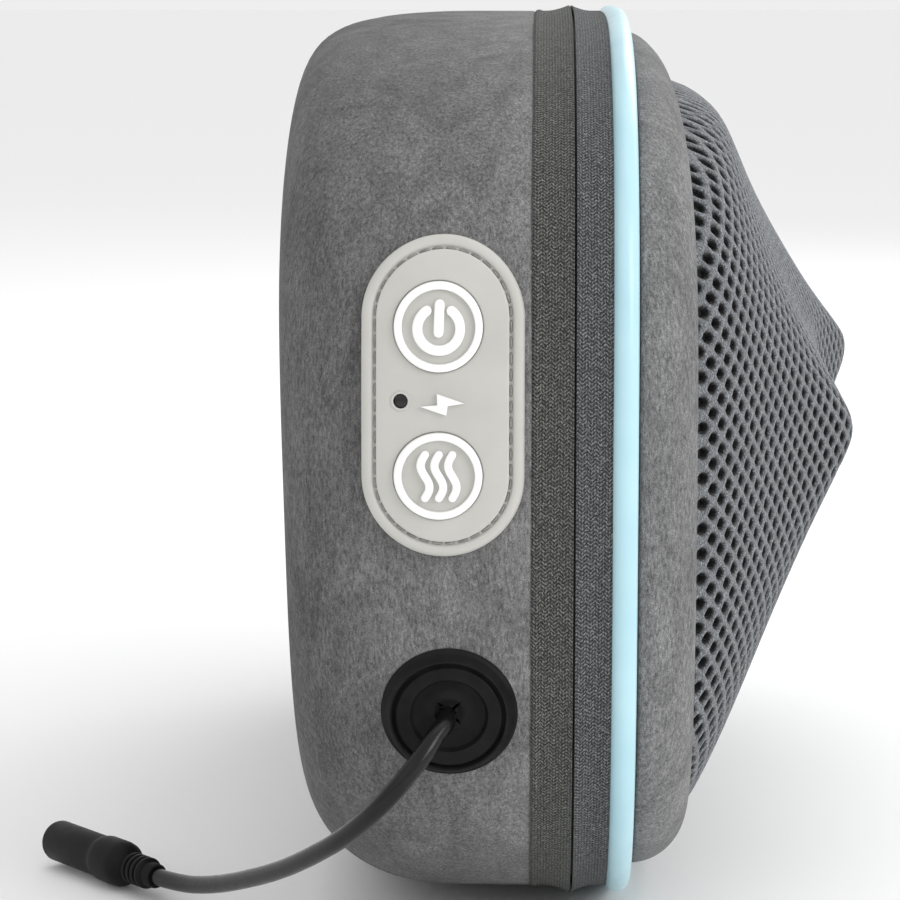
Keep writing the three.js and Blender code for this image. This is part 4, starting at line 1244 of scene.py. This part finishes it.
def charge_sign():
    x, z = PAD["x"] - 0.2, LED_Z - 0.7
    corners = [(-1.1, 2.2), (4.3, 0.35), (1.05, -0.15), (0.75, -2), (-4.25, -0.3), (-1, 0)]
    loop = [(x + a, z + b) for a, b in corners]
    piece = raised_outline("charge_sign", [loop], MARK_LOW, MARK_HIGH - 0.1, "case", WHITE, 0.12)
    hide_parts("charge_mark")


charge_sign()


def lamp():
    """The charge lamp's dark window, set in a thin raised rim."""
    low, high = wrapped([(LED_X, LED_Z, -2), (LED_X, LED_Z, 0)])
    place = facing(high, (high - low).normalized())
    lens = [(0.02, -1), (LED_RADIUS, -1), (LED_RADIUS, TOP - 0.35), (LED_RADIUS - 0.3, TOP - 0.25),
            (0.02, TOP - 0.2)]
    window = turned("led_window_lens", lens, place, WINDOW, 40)
    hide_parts("led_lens")
    rim = [(LED_RADIUS + 0.32 + 0.27 * math.cos(t), TOP + 0.02 + 0.17 * math.sin(t))
           for t in np.linspace(0, 2 * math.pi, 17)]
    ring = turned("led_window_rim", rim, place, SILICONE, 48)


lamp()


# ---------------- zipper slider and pull
SLIDER_Y, SLIDER_Z = HALF_LENGTH + 1.9, 115


def slab(name, loops, back, thick, node, soften=0.35):
    """A flat piece on the far end, drawn as (x, z) outlines, with its back at y = back."""
    mesh = flat_mesh(name, loops, thick, soften, MM)
    mesh.transform(Matrix.Rotation(math.pi / 2, 4, "X"))
    mesh.transform(Matrix.Translation((0, (back + thick / 2) * MM, 0)))
    piece = finish_flat(name, mesh, node, ZINC)
    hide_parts(node)


def rounded_loop(x, z, half_x, half_z, radius, steps=8):
    loop = []
    for i, (sx, sz) in enumerate(((1, 1), (-1, 1), (-1, -1), (1, -1))):
        for k in range(steps + 1):
            turn = math.pi / 2 * (i + k / steps)
            loop.append((x + sx * (half_x - radius) + radius * math.cos(turn),
                         z + sz * (half_z - radius) + radius * math.sin(turn)))
    return loop


def slider():
    body = rounded_loop(ZIP_X, SLIDER_Z, 4, 7, 2.6)
    slab("zipper_slider_body", [body], SLIDER_Y, 1.5, "zipper_slider", 0.45)
    # a low bridge that the pull hangs from
    points = []
    steps, sides = 14, 12
    for i in range(steps + 1):
        turn = math.pi * i / steps
        out, along = math.sin(turn), math.cos(turn)
        centre = Vector((ZIP_X, SLIDER_Y + 1.2 + 2.3 * out ** 0.7, SLIDER_Z + 0.6 + 3.6 * along))
        for cos, sin in round_turns(sides):
            points.append(centre + Vector((1.1 * cos, 0.5 * sin * out, -0.5 * sin * along)))
    faces = tube_faces(steps + 1, sides)
    bridge = new_piece("zipper_slider_bridge", points, faces, ZINC, body="zipper_slider")
    tab = rounded_loop(ZIP_X, SLIDER_Z - 10, 2.6, 10, 2.5)
    eye = rounded_loop(ZIP_X, SLIDER_Z - 1.9, 1.45, 0.9, 0.8, 5)
    grip = rounded_loop(ZIP_X, SLIDER_Z - 15, 1.3, 2.9, 1.2, 6)
    slab("zipper_pull_tab", [tab, eye, grip], SLIDER_Y + 2.5, 1.4, "zipper_pull")


slider()


# ---------------- floor
def floor():
    """A wide pale floor just under the object, in metres."""
    size = 60
    mesh = bpy.data.meshes.new("floor")
    corners = [(-size, -size, 0), (size, -size, 0), (size, size, 0), (-size, size, 0)]
    mesh.from_pydata(corners, [], [(0, 1, 2, 3)])
    mesh.materials.append(Look("floor", (0.97, 0.97, 0.97), 0.7).material)
    piece = add_object("floor", mesh)
    piece.location.z = -0.0004


floor()
